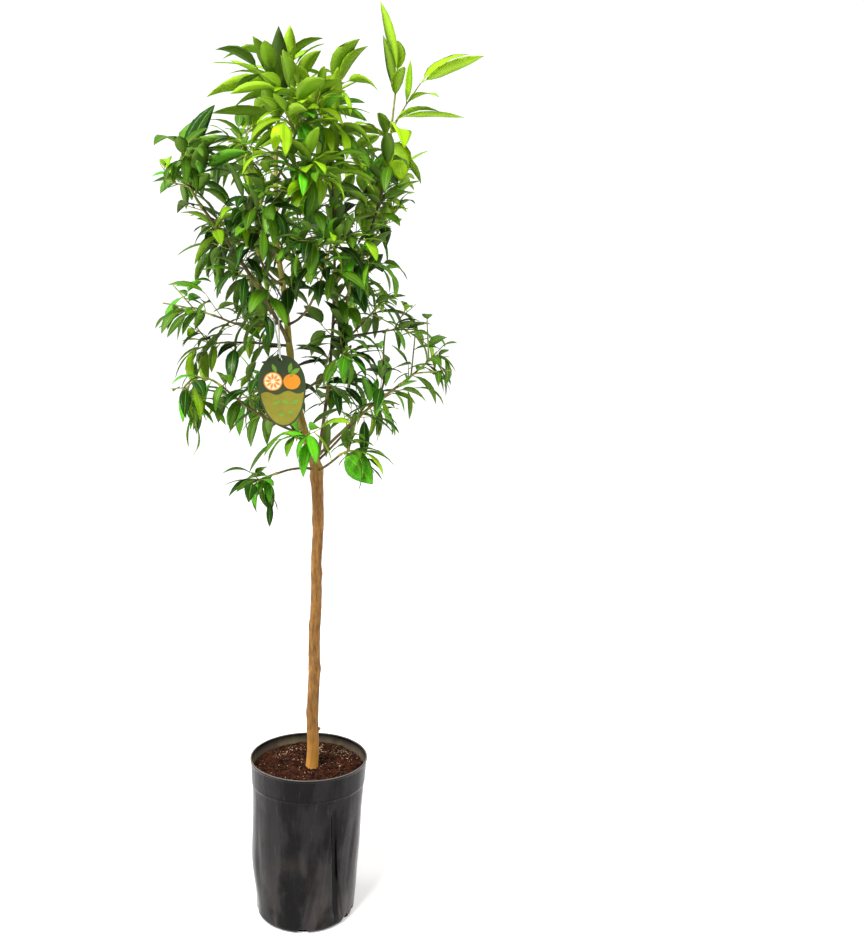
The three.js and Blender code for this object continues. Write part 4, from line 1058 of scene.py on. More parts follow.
def add_object(name, piece, materials, smooth=True):
    """Mesh object in the scene from one part in millimetres."""
    mesh = bpy.data.meshes.new(name)
    quads, triangles = piece["quads"], piece["triangles"]
    corners = np.concatenate([quads.ravel(), triangles.ravel()])
    starts = np.concatenate([
        np.arange(len(quads)) * 4, len(quads) * 4 + np.arange(len(triangles)) * 3,
    ])
    mesh.vertices.add(len(piece["points"]))
    mesh.loops.add(len(corners))
    mesh.polygons.add(len(starts))
    mesh.vertices.foreach_set("co", (piece["points"] * MM).astype(np.float32).ravel())
    mesh.loops.foreach_set("vertex_index", corners.astype(np.int32))
    mesh.polygons.foreach_set("loop_start", starts.astype(np.int32))
    mesh.polygons.foreach_set("use_smooth", np.full(len(starts), smooth))
    slots = np.concatenate([piece["quad_slots"], piece["triangle_slots"]])
    mesh.polygons.foreach_set("material_index", slots.astype(np.int32))
    for key in ("uv", "tint"):
        if piece[key].any():
            layer = mesh.uv_layers.new(name=key)
            layer.uv.foreach_set("vector", piece[key][corners].astype(np.float32).ravel())
    for material in materials:
        mesh.materials.append(material)
    mesh.update(calc_edges=True)
    mesh.validate()
    thing = bpy.data.objects.new(name, mesh)
    bpy.context.scene.collection.objects.link(thing)
    return thing


def add_piece(name, piece, materials, nodes, smooth=True):
    """Mesh object that rides on the tree and stands for some of the model's nodes."""
    thing = add_object(name, piece, materials, smooth)
    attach(thing, "root")
    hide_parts(*nodes)


# Materials
def join(tree, node, inputs):
    """Gives each input of a node a value, or a link from another node's output in use."""
    for key, value in inputs.items() if isinstance(inputs, dict) else enumerate(inputs):
        socket = node.inputs[key]
        if isinstance(value, bpy.types.Node):
            value = next(output for output in value.outputs if output.enabled)
        if isinstance(value, bpy.types.NodeSocket):
            tree.links.new(value, socket)
        else:
            socket.default_value = (*value[:3], 1) if socket.type == "RGBA" else value


def add(tree, kind, inputs=(), **settings):
    """Adds a node with its settings, and with its inputs as values or links."""
    node = tree.nodes.new(f"ShaderNode{kind}")
    for key, value in settings.items():
        setattr(node, key, value)
    join(tree, node, inputs)
    return node


def new_material(name):
    """Node material with a bare shader: its tree, its shader and the place in the object."""
    material = bpy.data.materials.new(name)
    material.use_nodes = True
    tree = material.node_tree
    tree.nodes.clear()
    shader = add(tree, "BsdfPrincipled")
    add(tree, "OutputMaterial", {"Surface": shader})
    return material, tree, shader, add(tree, "TexCoord").outputs["Object"]


def lumps(place, size, detail=3, roughness=0.55):
    """Inputs of a noise whose lumps are about that many millimetres across."""
    return {"Vector": place, "Scale": 0.5 / (size * MM), "Detail": detail, "Roughness": roughness}


def relief(height, depth, strength, normal=None):
    """Inputs of a bump of that many millimetres, over another bump where one is given."""
    inputs = {"Height": height, "Distance": depth * MM, "Strength": strength}
    return inputs if normal is None else {**inputs, "Normal": normal}


def blend(share, first, second):
    """Inputs of a colour mix."""
    return {0: share, 6: first, 7: second}


def moulded_plastic(settings):
    """Black moulded polyethylene of a used nursery pot.

    Upright streaks of the mould, 8 mm wide, make its shine uneven, so that the soft lights run
    down it in bands. A grey haze lies on it in 24 mm patches with 5 mm scuffs, more near the foot,
    where soil is rubbed in. Painted shade darkens the folds, the drain notches and the step under
    the collar. The inside above the soil is dusty, and its colour is lightened with painted light.
    A pale line painted round the top of the rim is a painted highlight.
    """
    material, tree, shader, place = new_material("moulded_plastic")
    height = add(tree, "SeparateXYZ", [place]).outputs[2]
    streaked, hazed, scuffed = (
        add(tree, "VectorMath", (place, stretch), operation="MULTIPLY")
        for stretch in ((1, 1, 0.12), (1, 1, 0.35), (1, 1.6, 0.16))
    )
    streaks = add(tree, "TexNoise", lumps(streaked, 8, 4))
    hazes = add(tree, "TexNoise", lumps(hazed, 24, 5))
    scuffs = add(tree, "TexNoise", lumps(scuffed, 5, 3, 0.7))
    clouds = add(tree, "TexNoise", lumps(place, 35, 5))
    patches = add(tree, "MapRange", (clouds, 0.5, 0.68))
    # The tint carries painted shade for the folds, the drain notches and the step under the collar
    tint = add(tree, "SeparateXYZ", [add(tree, "UVMap", uv_map="tint")])
    level = add(tree, "VectorMath", (place, (1, 1, 0)), operation="MULTIPLY")
    wide = add(tree, "VectorMath", [level], operation="LENGTH").outputs["Value"]
    hazy, dusty, inside = (
        add(tree, "Math", [add(tree, "MapRange", share) for share in pair], operation="MULTIPLY")
        for pair in (
            ((hazes, 0.46, 0.58), (height, 0.24, 0.04, 0.12, 0.34)),
            ((height, 0.2, 0, 0.05, 0.28), (clouds, 0.5, 0.68)),
            ((wide, 0.1078, 0.1072), (height, 0.268, 0.272)),
        )
    )
    # Inside above the soil: real dust mixed with a lightened colour that is painted light
    dust_and_painted_light = add(tree, "Mix", blend(patches, settings.dust, settings.lining_painted_light), data_type="RGBA")
    body = settings.plastic
    for share, laid in (
        (hazy, settings.haze),
        (add(tree, "MapRange", (scuffs, 0.64, 0.72, 0, 0.3)), settings.haze),
        (dusty, settings.dust),
        # Painted shade: the tint lays near black into the folds, the notches and the collar step
        (add(tree, "MapRange", (tint, 0.05, 0.6, 0, 0.92)), (0.002, 0.002, 0.002)),
        (inside, dust_and_painted_light),
        # Painted highlight: a pale line round the top of the rim
        (add(tree, "MapRange", (height, 0.3086, 0.3096, 0, 0.6)), settings.edge),
    ):
        body = add(tree, "Mix", blend(share, body, laid), data_type="RGBA")
    soft = add(tree, "Bump", relief(streaks, 1.2, 0.6))
    grain = add(tree, "TexNoise", lumps(place, 1.2, 2))
    join(tree, shader, {
        "Base Color": body, "Roughness": add(tree, "MapRange", (streaks, 0.35, 0.7, 0.16, 0.34)),
        "Specular IOR Level": 0.1, "Normal": add(tree, "Bump", relief(grain, 0.1, 0.5, soft)),
    })
    return material


def potting_soil(name, first, second, size):
    """Moist peat and bark fines: two browns in patches of that many millimetres, dull and rough."""
    material, tree, shader, place = new_material(name)
    patches = add(tree, "MapRange", (add(tree, "TexNoise", lumps(place, size, 8)), 0.44, 0.58))
    fines = add(tree, "TexNoise", lumps(place, 2, 5))
    join(tree, shader, {
        "Base Color": add(tree, "Mix", blend(patches, first, second), data_type="RGBA"),
        "Roughness": 0.95, "Specular IOR Level": 0.15,
        "Normal": add(tree, "Bump", relief(fines, 1.5, 0.8)),
    })
    return material


def tree_bark(settings):
    """Citrus bark of the trunk.

    Tan with brown furrows 2.5 mm wide, drawn out upright, as thin bark splits; golden by the soil,
    where it is freshly bared, and olive green up the young leader. The furrows are duller than the
    ridges, so that the light picks out the relief.
    """
    material, tree, shader, place = new_material("citrus_bark")
    height = add(tree, "SeparateXYZ", [place]).outputs[2]
    furrowed, blotched, grained = (
        add(tree, "VectorMath", (place, (1, 1, stretch)), operation="MULTIPLY")
        for stretch in (0.2, 0.7, 0.5)
    )
    furrows = add(tree, "TexNoise", lumps(furrowed, 2.5, 6, 0.7))
    blotches = add(tree, "TexNoise", lumps(blotched, 12, 4))
    fine = add(tree, "TexNoise", lumps(grained, 1.1, 3))
    leader = add(tree, "MapRange", (height, 0.84, 1.02))
    uneven = add(tree, "MapRange", (blotches, 0.3, 0.6, 0.6, 1))
    body = settings.brown
    for share, laid in (
        (add(tree, "MapRange", (furrows, 0.36, 0.66)), settings.tan),
        (add(tree, "MapRange", (blotches, 0.52, 0.7, 0, 0.35)), settings.brown),
        (add(tree, "MapRange", (height, 0.37, 0.3)), settings.golden),
        (add(tree, "Math", (leader, uneven), operation="MULTIPLY"), settings.green),
    ):
        body = add(tree, "Mix", blend(share, body, laid), data_type="RGBA")
    coarse = add(tree, "Bump", relief(furrows, 1.2, 0.7))
    join(tree, shader, {
        "Base Color": body, "Roughness": add(tree, "MapRange", (furrows, 0.3, 0.7, 0.75, 0.55)),
        "Specular IOR Level": 0.3, "Normal": add(tree, "Bump", relief(fine, 0.4, 0.6, coarse)),
    })
    return material


def streaky(name, first, second, third, streak, patch, roughness):
    """Skin with streaks between two colours, over them patches of a third, and a fine grain.

    Streaks and patches are given in millimetres. The rough skin keeps the light soft and even.
    """
    material, tree, shader, place = new_material(name)
    streaks = add(tree, "TexNoise", lumps(place, *streak))
    patches = add(tree, "TexNoise", lumps(place, patch))
    body = add(tree, "Mix", blend(add(tree, "MapRange", (streaks, 0.36, 0.64)), first, second),
               data_type="RGBA")
    share = add(tree, "MapRange", (patches, 0.5, 0.7, 0, 0.5))
    grain = add(tree, "TexNoise", lumps(place, 1.5))
    join(tree, shader, {
        "Base Color": add(tree, "Mix", blend(share, body, third), data_type="RGBA"),
        "Roughness": roughness, "Specular IOR Level": 0.3,
        "Normal": add(tree, "Bump", relief(grain, 0.4, 0.6)),
    })
    return material


def bough_bark(settings):
    """Thin dry bark of the boughs: olive brown, with darker streaks of 3 mm and green patches."""
    darker = tuple(value * 0.45 for value in settings.bough)
    return streaky("bough_bark", darker, settings.bough, settings.green, (3, 5, 0.65), 30, 0.62)


def green_shoot(settings):
    """Waxy skin of young twigs: green with paler streaks of 4 mm, a little glossy."""
    return streaky("green_shoot", settings.shoot, settings.green, settings.shoot, (4, 4), 12, 0.5)


def leaf_top(name, base, rib, gloss):
    """Waxy upper face of a citrus leaf.

    The green drifts from leaf to leaf by the piece's tint and in 14 mm patches over the blade, and
    pales a little along a thin midrib. Shallow side veins and a 2.5 mm grain, drawn coarser than
    real so that it shows, break the wax's shine into soft streaks, and a leaf doesn't look painted.
    """
    material, tree, shader, place = new_material(name)
    blade = add(tree, "SeparateXYZ", [add(tree, "UVMap", uv_map="uv")])
    tint = add(tree, "SeparateXYZ", [add(tree, "UVMap", uv_map="tint")])
    patches = add(tree, "TexNoise", lumps(place, 14))
    darker = tuple(value * 0.42 for value in base)
    paler = tuple(min(1, value * 1.3) for value in base)
    off = add(tree, "Math", (blade, 0.5), operation="SUBTRACT")
    aside = add(tree, "Math", [off], operation="ABSOLUTE")
    body = darker
    for share, laid in (
        (add(tree, "MapRange", (tint, 0, 1)), paler),
        (add(tree, "MapRange", (patches, 0.4, 0.62, 0, 0.3)), darker),
        (add(tree, "MapRange", (aside, 0.03, 0.012, 0, 0.38)), rib),
    ):
        body = add(tree, "Mix", blend(share, body, laid), data_type="RGBA")
    slant = add(tree, "Math", (aside, -0.42, blade.outputs[1]), operation="MULTIPLY_ADD")
    waves = add(tree, "Math", (slant, 70), operation="MULTIPLY")
    ribbed = add(tree, "Bump", relief(add(tree, "Math", [waves], operation="SINE"), 0.2, 0.3))
    grain = add(tree, "TexNoise", lumps(place, 2.5, 2))
    join(tree, shader, {
        "Base Color": body,
        "Roughness": add(tree, "MapRange", (patches, 0.35, 0.65, gloss - 0.05, gloss + 0.1)),
        "Specular IOR Level": 0.2, "Specular Tint": (0.95, 1, 0.7),
        "Normal": add(tree, "Bump", relief(grain, 0.2, 0.3, ribbed)),
    })
    return material


def leaf_under(name, base, pale):
    """Lower face of a leaf: duller and paler than the upper, without its wax.

    It is the kind's own green part of the way to the pale one, in 12 mm patches, so that a spray
    seen from below still belongs to its kind.
    """
    material, tree, shader, place = new_material(name)
    tint = add(tree, "SeparateXYZ", [add(tree, "UVMap", uv_map="tint")])
    dull = tuple(value * 0.72 + other * 0.28 for value, other in zip(base, pale))
    darker = tuple(value * 0.5 for value in dull)
    patches = add(tree, "MapRange", (add(tree, "TexNoise", lumps(place, 12)), 0.35, 0.65, 0, 0.35))
    body = add(tree, "Mix", blend(tint.outputs[1], darker, dull), data_type="RGBA")
    grain = add(tree, "TexNoise", lumps(place, 2, 2))
    join(tree, shader, {
        "Base Color": add(tree, "Mix", blend(patches, body, darker), data_type="RGBA"),
        "Roughness": 0.7, "Specular IOR Level": 0.15,
        "Normal": add(tree, "Bump", relief(grain, 0.2, 0.4)),
    })
    return material


def printed_card(name, base, roughness=0.32):
    """Printed and laminated card: ink with a faint 6 mm mottle under a clear, wavy film."""
    material, tree, shader, place = new_material(name)
    mottle = add(tree, "MapRange", (add(tree, "TexNoise", lumps(place, 6, 4)), 0.3, 0.7))
    darker = tuple(value * 0.8 for value in base)
    waves = add(tree, "TexNoise", lumps(place, 20, 2))
    join(tree, shader, {
        "Base Color": add(tree, "Mix", blend(mottle, darker, base), data_type="RGBA"),
        "Roughness": roughness, "Coat Weight": 0.4, "Coat Roughness": 0.15,
        "Normal": add(tree, "Bump", relief(waves, 0.6, 0.3)),
    })
    return material


def studio_floor(settings):
    """Matt white studio floor with the faintest mottle.

    It glows a little, more so far off, and so runs on into the white background without a line.
    """
    material, tree, shader, place = new_material("studio_floor")
    mottle = add(tree, "MapRange", (add(tree, "TexNoise", lumps(place, 400)), 0.3, 0.7))
    darker = tuple(value * 0.985 for value in settings.floor)
    away = add(tree, "VectorMath", [place], operation="LENGTH").outputs["Value"]
    join(tree, shader, {
        "Base Color": add(tree, "Mix", blend(mottle, darker, settings.floor), data_type="RGBA"),
        "Roughness": 0.9, "Specular IOR Level": 0.1, "Emission Color": settings.floor,
        "Emission Strength": add(tree, "MapRange", (away, 0.4, 4, 0.34, 0.75)),
    })
    return material


# Pot
def turned_from(heading, other):
    """Heading seen from another, from -180 to 180 degrees."""
    return (heading - other + 180) % 360 - 180


def fold_depth(heading, z):
    """Depth of each fold: depth times sin(pi down)^0.6 times exp(-(degrees aside / wide)^4)."""
    for top, bottom, start, lean, depth, wide in FOLDS:
        down = (top - z) / (top - bottom)
        aside = turned_from(heading, start + lean * down)
        inside = np.where((down > 0) & (down < 1), np.sin(np.pi * np.clip(down, 0, 1)), 0)
        yield depth * inside ** 0.6 * np.exp(-(aside / wide) ** 4)


def pot_radius(settings, heading, z):
    """Outside radius: an even taper, plus collar and bulge, less folds and the panels' hollows.

    Panels and dents are sums of sines whose turns round the pot are whole numbers. They and the
    folds fade out towards the foot and the collar, which the moulding keeps stiff.
    """
    height = settings.height / MM
    collar_foot = height - settings.collar / MM
    foot = settings.foot_radius / MM
    rim = (settings.rim_radius - settings.rim_roll) / MM
    radius = foot + (rim - foot) * (z / height)
    radius = radius + settings.collar_step / MM * np.clip((z - collar_foot) / COLLAR_SLOPE, 0, 1)
    aside = turned_from(heading, BULGE["heading"])
    radius = radius + BULGE["depth"] * np.exp(
        -(aside / BULGE["wide"]) ** 2 - ((z - BULGE["z"]) / BULGE["tall"]) ** 2)
    soft = np.clip(z / FADE_IN, 0, 1) * np.clip((collar_foot + FADE_OVER - z) / FADE_OUT, 0, 1)
    for depth in fold_depth(heading, z):
        radius = radius - depth * soft
    turn = np.radians(heading)
    panels = 0.35 * np.cos(16 * turn) + 0.4 * np.sin(5 * turn + 0.02 * z)
    dents = 0.5 * np.sin(3 * turn + 0.031 * z + 1) * np.sin(0.027 * z)
    return radius + (panels + dents) * soft


def pot_profile(settings):
    """Rows of the pot's skin: height that sets the outside radius, inset from it, own height."""
    height = settings.height / MM
    wall = settings.wall / MM
    rounding = settings.foot_round / MM
    roll = settings.rim_roll / MM
    collar_foot = height - settings.collar / MM
    rows = [(rounding, share * UNDERSIDE + rounding, 0) for share in (0.97, 0.6, 0.2)]
    for turn in np.linspace(0, np.pi / 2, 7):
        rows.append((rounding, rounding * (1 - math.sin(turn)), rounding * (1 - math.cos(turn))))
    rows += [(z, 0, z) for z in np.linspace(rounding + 2, collar_foot, 58)]
    rows += [(z, 0, z) for z in collar_foot + np.array(COLLAR_ROWS)]
    rows += [(z, 0, z) for z in np.linspace(collar_foot + 8, height - 6, 8)]
    lip = height - LIP
    rows += [(lip, 0, height - 5), (lip, -0.5 * roll, height - 4.2)]
    for turn in np.linspace(-0.5, np.pi, 9):
        centre = (wall - roll) / 2
        across = (wall + roll) / 2
        rows.append((lip, centre - across * math.cos(turn), lip + LIP * math.sin(turn)))
    rows += [(z, wall, z) for z in np.linspace(height - 4, SOIL_LEVEL - 12, 12)]
    rows += [(z, wall, z) for z in np.linspace(SOIL_LEVEL - 24, rounding, 10)]
    return rows + [(rounding, rounding, wall), (rounding, UNDERSIDE + rounding, wall)]


def pot_part(settings):
    """The pot as one closed skin over its profile, with notches under the foot's rounding.

    The top of a notch is an arch: its height times sqrt(1 - (1.7 aside / width)^2). The tint
    carries painted shade into the folds, the notches and the step under the collar.
    """
    heading = np.linspace(0, 360, POT_SIDES, endpoint=False)[None]
    at, inset, z = (np.array(column)[:, None] for column in zip(*pot_profile(settings)))
    radius = pot_radius(settings, heading, at) - inset
    wide, tall, deep = NOTCH_SIZE
    outside = (np.arange(len(z)) < NOTCHED_ROWS)[:, None] & (z > 0.01)
    notch_shade = np.zeros(radius.shape)
    for notch in NOTCH_HEADINGS:
        aside = np.radians(turned_from(heading, notch)) * radius
        arch = tall * np.sqrt(np.clip(1 - (aside / wide * 1.7) ** 2, 0, 1))
        inside = np.clip((wide / 2 - np.abs(aside)) / NOTCH_EDGE, 0, 1)
        cut = np.where(outside, inside * np.clip((arch - z) / NOTCH_EDGE, 0, 1), 0)
        radius = radius - deep * cut
        notch_shade = notch_shade + cut
    turn = np.radians(heading)
    rings = np.stack([radius * np.cos(turn), radius * np.sin(turn), z + 0 * radius], axis=2)
    # Painted shade in the folds, the notches and the step under the collar, carried by the tint
    fold_shade = sum(np.maximum(depth, 0) for depth in fold_depth(heading, at))
    collar_foot = (settings.height - settings.collar) / MM
    collar_step_shade = 0.4 * (np.abs(at - collar_foot - 0.8) < 2.4)
    tint = np.zeros((radius.size + 2, 2))
    tint[:-2, 0] = np.clip(fold_shade / 6 + notch_shade + collar_step_shade, 0, 1).ravel()
    return closed_grid(rings, tint=tint)


class TREE_OT_pot(bpy.types.Operator):
    """Add the nursery pot with its collar, rolled rim, folds and drain notches"""

    bl_idname = "potted_tree.pot"
    bl_label = "Pot"

    def execute(self, context):
        settings = context.scene.potted_tree.pot
        add_piece("nursery_pot", pot_part(settings), [moulded_plastic(settings)], ["pot"])
        return {"FINISHED"}


# Soil
def lumpy(x, y, size, seed):
    """Smooth random height from -1 to 1: drawn values on a grid, blended by s^2 (3 - 2 s)."""
    values = np.random.default_rng(seed).uniform(-1, 1, (LUMP_CELLS, LUMP_CELLS))
    u, v = x / size + LUMP_CELLS / 2, y / size + LUMP_CELLS / 2
    column, row = np.floor(u).astype(int), np.floor(v).astype(int)
    s, t = u - column, v - row
    s, t = s * s * (3 - 2 * s), t * t * (3 - 2 * t)
    low = values[row, column] * (1 - s) + values[row, column + 1] * s
    high = values[row + 1, column] * (1 - s) + values[row + 1, column + 1] * s
    return low * (1 - t) + high * t


def soil_height(settings, x, y):
    """Height of the soil: a mound round the trunk, a rise to the back, and three sizes of lumps."""
    apart = np.hypot(x - TRUNK[0][1], y) / 100
    mound = settings.mound / MM * np.exp(-(apart / 0.35) ** 2) + 6 * np.clip(y / 100, -0.3, 1)
    rough = sum(share * lumpy(x, y, size, seed) for share, size, seed in LUMP_KINDS)
    return SOIL_LEVEL - 1 + mound + settings.lumps / MM * rough


def soil_part(settings, pot):
    """The soil as one closed skin: a lumpy top to the wall, then down the inside of the pot."""
    heading = np.linspace(0, 360, SOIL_SIDES, endpoint=False)[None]
    turn = np.radians(heading)
    clear = pot.wall / MM + SOIL_GAP
    edge = pot_radius(pot, heading, np.array([[SOIL_LEVEL - 3.0]])) - clear
    shares = np.linspace(1, 0.02, SOIL_RINGS)[:, None]
    x, y = edge * shares * np.cos(turn), edge * shares * np.sin(turn)
    top = np.stack([x, y, soil_height(settings, x, y)], axis=2)
    down = np.array(SOIL_ROWS, float)[:, None]
    inside = pot_radius(pot, heading, down) - clear - 1.2
    wall = np.stack([inside * np.cos(turn), inside * np.sin(turn), down + 0 * inside], axis=2)
    floor = wall[:1] * np.array([0.9, 0.9, 0]) + np.array([0, 0, clear])
    return closed_grid(np.concatenate([floor, wall, top]))


def crumbs_part(settings, one_in, seed, sizes, flatness, drift):
    """Crumbs: octahedra with drawn corners, strewn evenly or in a drift about one heading."""
    random = np.random.default_rng(seed)
    count = settings.crumbs // one_in
    if drift is None:
        radius = CRUMBS_OUT * np.sqrt(random.uniform(0, 1, count))
        turn = random.uniform(0, 2 * np.pi, count)
    else:
        radius = random.uniform(*DRIFT_OUT, count)
        turn = np.radians(random.normal(drift, DRIFT_SPREAD, count))
    x, y = radius * np.cos(turn), radius * np.sin(turn)
    size = random.uniform(*sizes, count) / 2
    corners = np.array([[1, 0, 0], [0, 1, 0], [-1, 0, 0], [0, -1, 0], [0, 0, 1], [0, 0, -1]], float)
    shape = corners[None] * random.uniform(0.6, 1.3, (count, 6, 1))
    shape = shape * np.array([1, random.uniform(0.7, 1), flatness]) * size[:, None, None]
    spin = random.uniform(0, 2 * np.pi, count)[:, None]
    rolled = shape[..., 2] + 0.4 * shape[..., 0]
    points = np.stack([
        x[:, None] + shape[..., 0] * np.cos(spin) - shape[..., 1] * np.sin(spin),
        y[:, None] + shape[..., 0] * np.sin(spin) + shape[..., 1] * np.cos(spin),
        (soil_height(settings, x, y) + 0.25 * size)[:, None] + rolled,
    ], axis=2)
    faces = pole_faces(1, 4)[:, ::-1] + 6 * np.arange(count)[:, None, None]
    return part(points, triangles=faces)


class TREE_OT_soil(bpy.types.Operator):
    """Add the potting soil with its crumbs, bark and pale mineral flecks"""

    bl_idname = "potted_tree.soil"
    bl_label = "Soil"

    def execute(self, context):
        settings = context.scene.potted_tree.soil
        body = soil_part(settings, context.scene.potted_tree.pot)
        dark = crumbs_part(settings, *DARK_CRUMBS)
        pale = joined([crumbs_part(settings, *kind) for kind in PALE_CRUMBS])
        for name, piece, first, second, patches in (
            ("potting_soil", body, settings.dark, settings.brown, 3),
            ("soil_crumbs", dark, settings.brown, settings.dark, 10),
            ("mineral_flecks", pale, settings.fleck, settings.brown, 12),
        ):
            material = potting_soil(name, first, second, patches)
            add_piece(name, piece, [material], ["soil"], smooth=piece is body)
        return {"FINISHED"}


# Trunk, boughs and twigs
def leaf_scars(along, step, first, spread, height):
    """Height of the rings that fallen leaves left at even steps along a limb."""
    return height * np.exp(-((np.mod(along, step) - first) / spread) ** 2)


def trunk_part(settings):
    """Trunk: a smooth curve with a radius, plus furrows, rings of leaf scars, and knots.

    The furrows are sums of sines whose turns round the trunk are whole numbers, so the skin
    closes on itself. A knot adds its height times exp(-(distance / spread) squared), and the
    waist takes its depth off in the same way, more on three sides.
    """
    z, x, radius = smoothed(smoothed(TRUNK, TRUNK_STEPS), TRUNK_ROWS).T
    turn = turns_round(TRUNK_SIDES)
    points = np.stack([x + 0.9 * np.sin(z / 23), 0.8 * np.sin(z / 31), z], axis=1)
    points[0, 2] -= TRUNK_SUNK
    around, up = turn[None], z[:, None]
    furrows = (0.45 * np.sin(7 * around + 0.05 * up + 1.5 * np.sin(0.03 * up))
               + 0.3 * np.sin(11 * around - 0.09 * up) + 0.25 * np.sin(4 * around + 0.21 * up))
    scars = leaf_scars(up, *TRUNK_SCARS)
    skin = radius[:, None] + settings.relief / MM * (furrows + scars)
    uneven = 1 + WAIST["uneven"] * np.sin(3 * around + 1)
    skin = skin - WAIST["depth"] * np.exp(-((up - SOIL_LEVEL) / WAIST["tall"]) ** 2) * uneven
    for height, heading, swelling, reach in KNOTS:
        aside = np.radians(turned_from(np.degrees(around), heading)) * radius[:, None]
        skin = skin + swelling * np.exp(-(aside ** 2 + (up - height) ** 2) / reach ** 2)
    along = unit(np.gradient(points, axis=0))
    right = unit(np.array([1.0, 0, 0]) - along[:, :1] * along)
    back = np.cross(along, right)
    return closed_grid(points[:, None] + right[:, None] * (skin * np.cos(turn))[..., None]
                       + back[:, None] * (skin * np.sin(turn))[..., None])


def stub_part():
    """Dead twig low on the trunk: a short tube that narrows to a blunt end."""
    start = point_at_height(limb_paths()["trunk"][0], STUB["z"])
    direction = pointing(math.radians(STUB["heading"]), math.radians(STUB["rise"]))
    shares = np.linspace(0, 1, 9)[:, None]
    bend = np.array([0, 0, 1.4]) * np.sin(4 * shares)
    points = start + direction * STUB["length"] * shares + bend
    radii = STUB["foot"] + (STUB["tip"] - STUB["foot"]) * shares
    uneven = 1 + 0.07 * np.sin(3 * turns_round(STUB["sides"])[None] + 9 * shares)
    return tube(points, radii * uneven, STUB["sides"])


def wood_part(points, radii, sides, steps, furrow, collar):
    """Limb: its smoothed path as a tube, furrowed, and swollen at leaf scars and at its foot."""
    rows = smoothed(np.column_stack([points, radii]), steps)
    path, radius = rows[:, :3], rows[:, 3:]
    lengths = np.linalg.norm(np.diff(path, axis=0), axis=1)
    travelled = np.concatenate([[0], np.cumsum(lengths)])[:, None]
    turns = turns_round(sides)[None]
    scars = leaf_scars(travelled, *WOOD_SCARS)
    grain = np.sin(3 * turns + travelled / 9) + 0.6 * np.sin(5 * turns - travelled / 6)
    swelling = 1 + collar * np.exp(-((travelled / (3 * radius[0])) ** 2))
    return tube(path, radius * swelling + furrow * (grain * 0.5 + scars), sides)


class TREE_OT_trunk(bpy.types.Operator):
    """Add the trunk with its knots, its flared foot and the stub of a dead twig"""

    bl_idname = "potted_tree.trunk"
    bl_label = "Trunk"

    def execute(self, context):
        settings = context.scene.potted_tree.bark
        body = joined([trunk_part(settings), stub_part()])
        add_piece("trunk_bark", body, [tree_bark(settings)], ["trunk"])
        return {"FINISHED"}


class TREE_OT_boughs(bpy.types.Operator):
    """Add the boughs that carry the crown"""

    bl_idname = "potted_tree.boughs"
    bl_label = "Boughs"

    def execute(self, context):
        settings = context.scene.potted_tree.bark
        paths = limb_paths()
        body = joined([wood_part(*paths[name], *WOOD["bough"]) for name in BOUGHS])
        nodes = [f"{name}_bough" for name in BOUGHS]
        add_piece("bough_bark", body, [bough_bark(settings)], nodes)
        return {"FINISHED"}


def foliage_nodes():
    """Names of the model's masses of foliage."""
    return [f"{name}_foliage" for name in MASSES]


class TREE_OT_twigs(bpy.types.Operator):
    """Add the stems and twigs that the leaves grow on"""

    bl_idname = "potted_tree.twigs"
    bl_label = "Twigs"

    def execute(self, context):
        settings = context.scene.potted_tree.bark
        parts = []
        for shoot in crown().shoots:
            radii = np.linspace(*shoot["radii"], len(shoot["points"]))
            parts.append(wood_part(shoot["points"], radii, *WOOD[shoot["kind"]]))
        add_piece("green_twigs", joined(parts), [green_shoot(settings)], foliage_nodes())
        return {"FINISHED"}


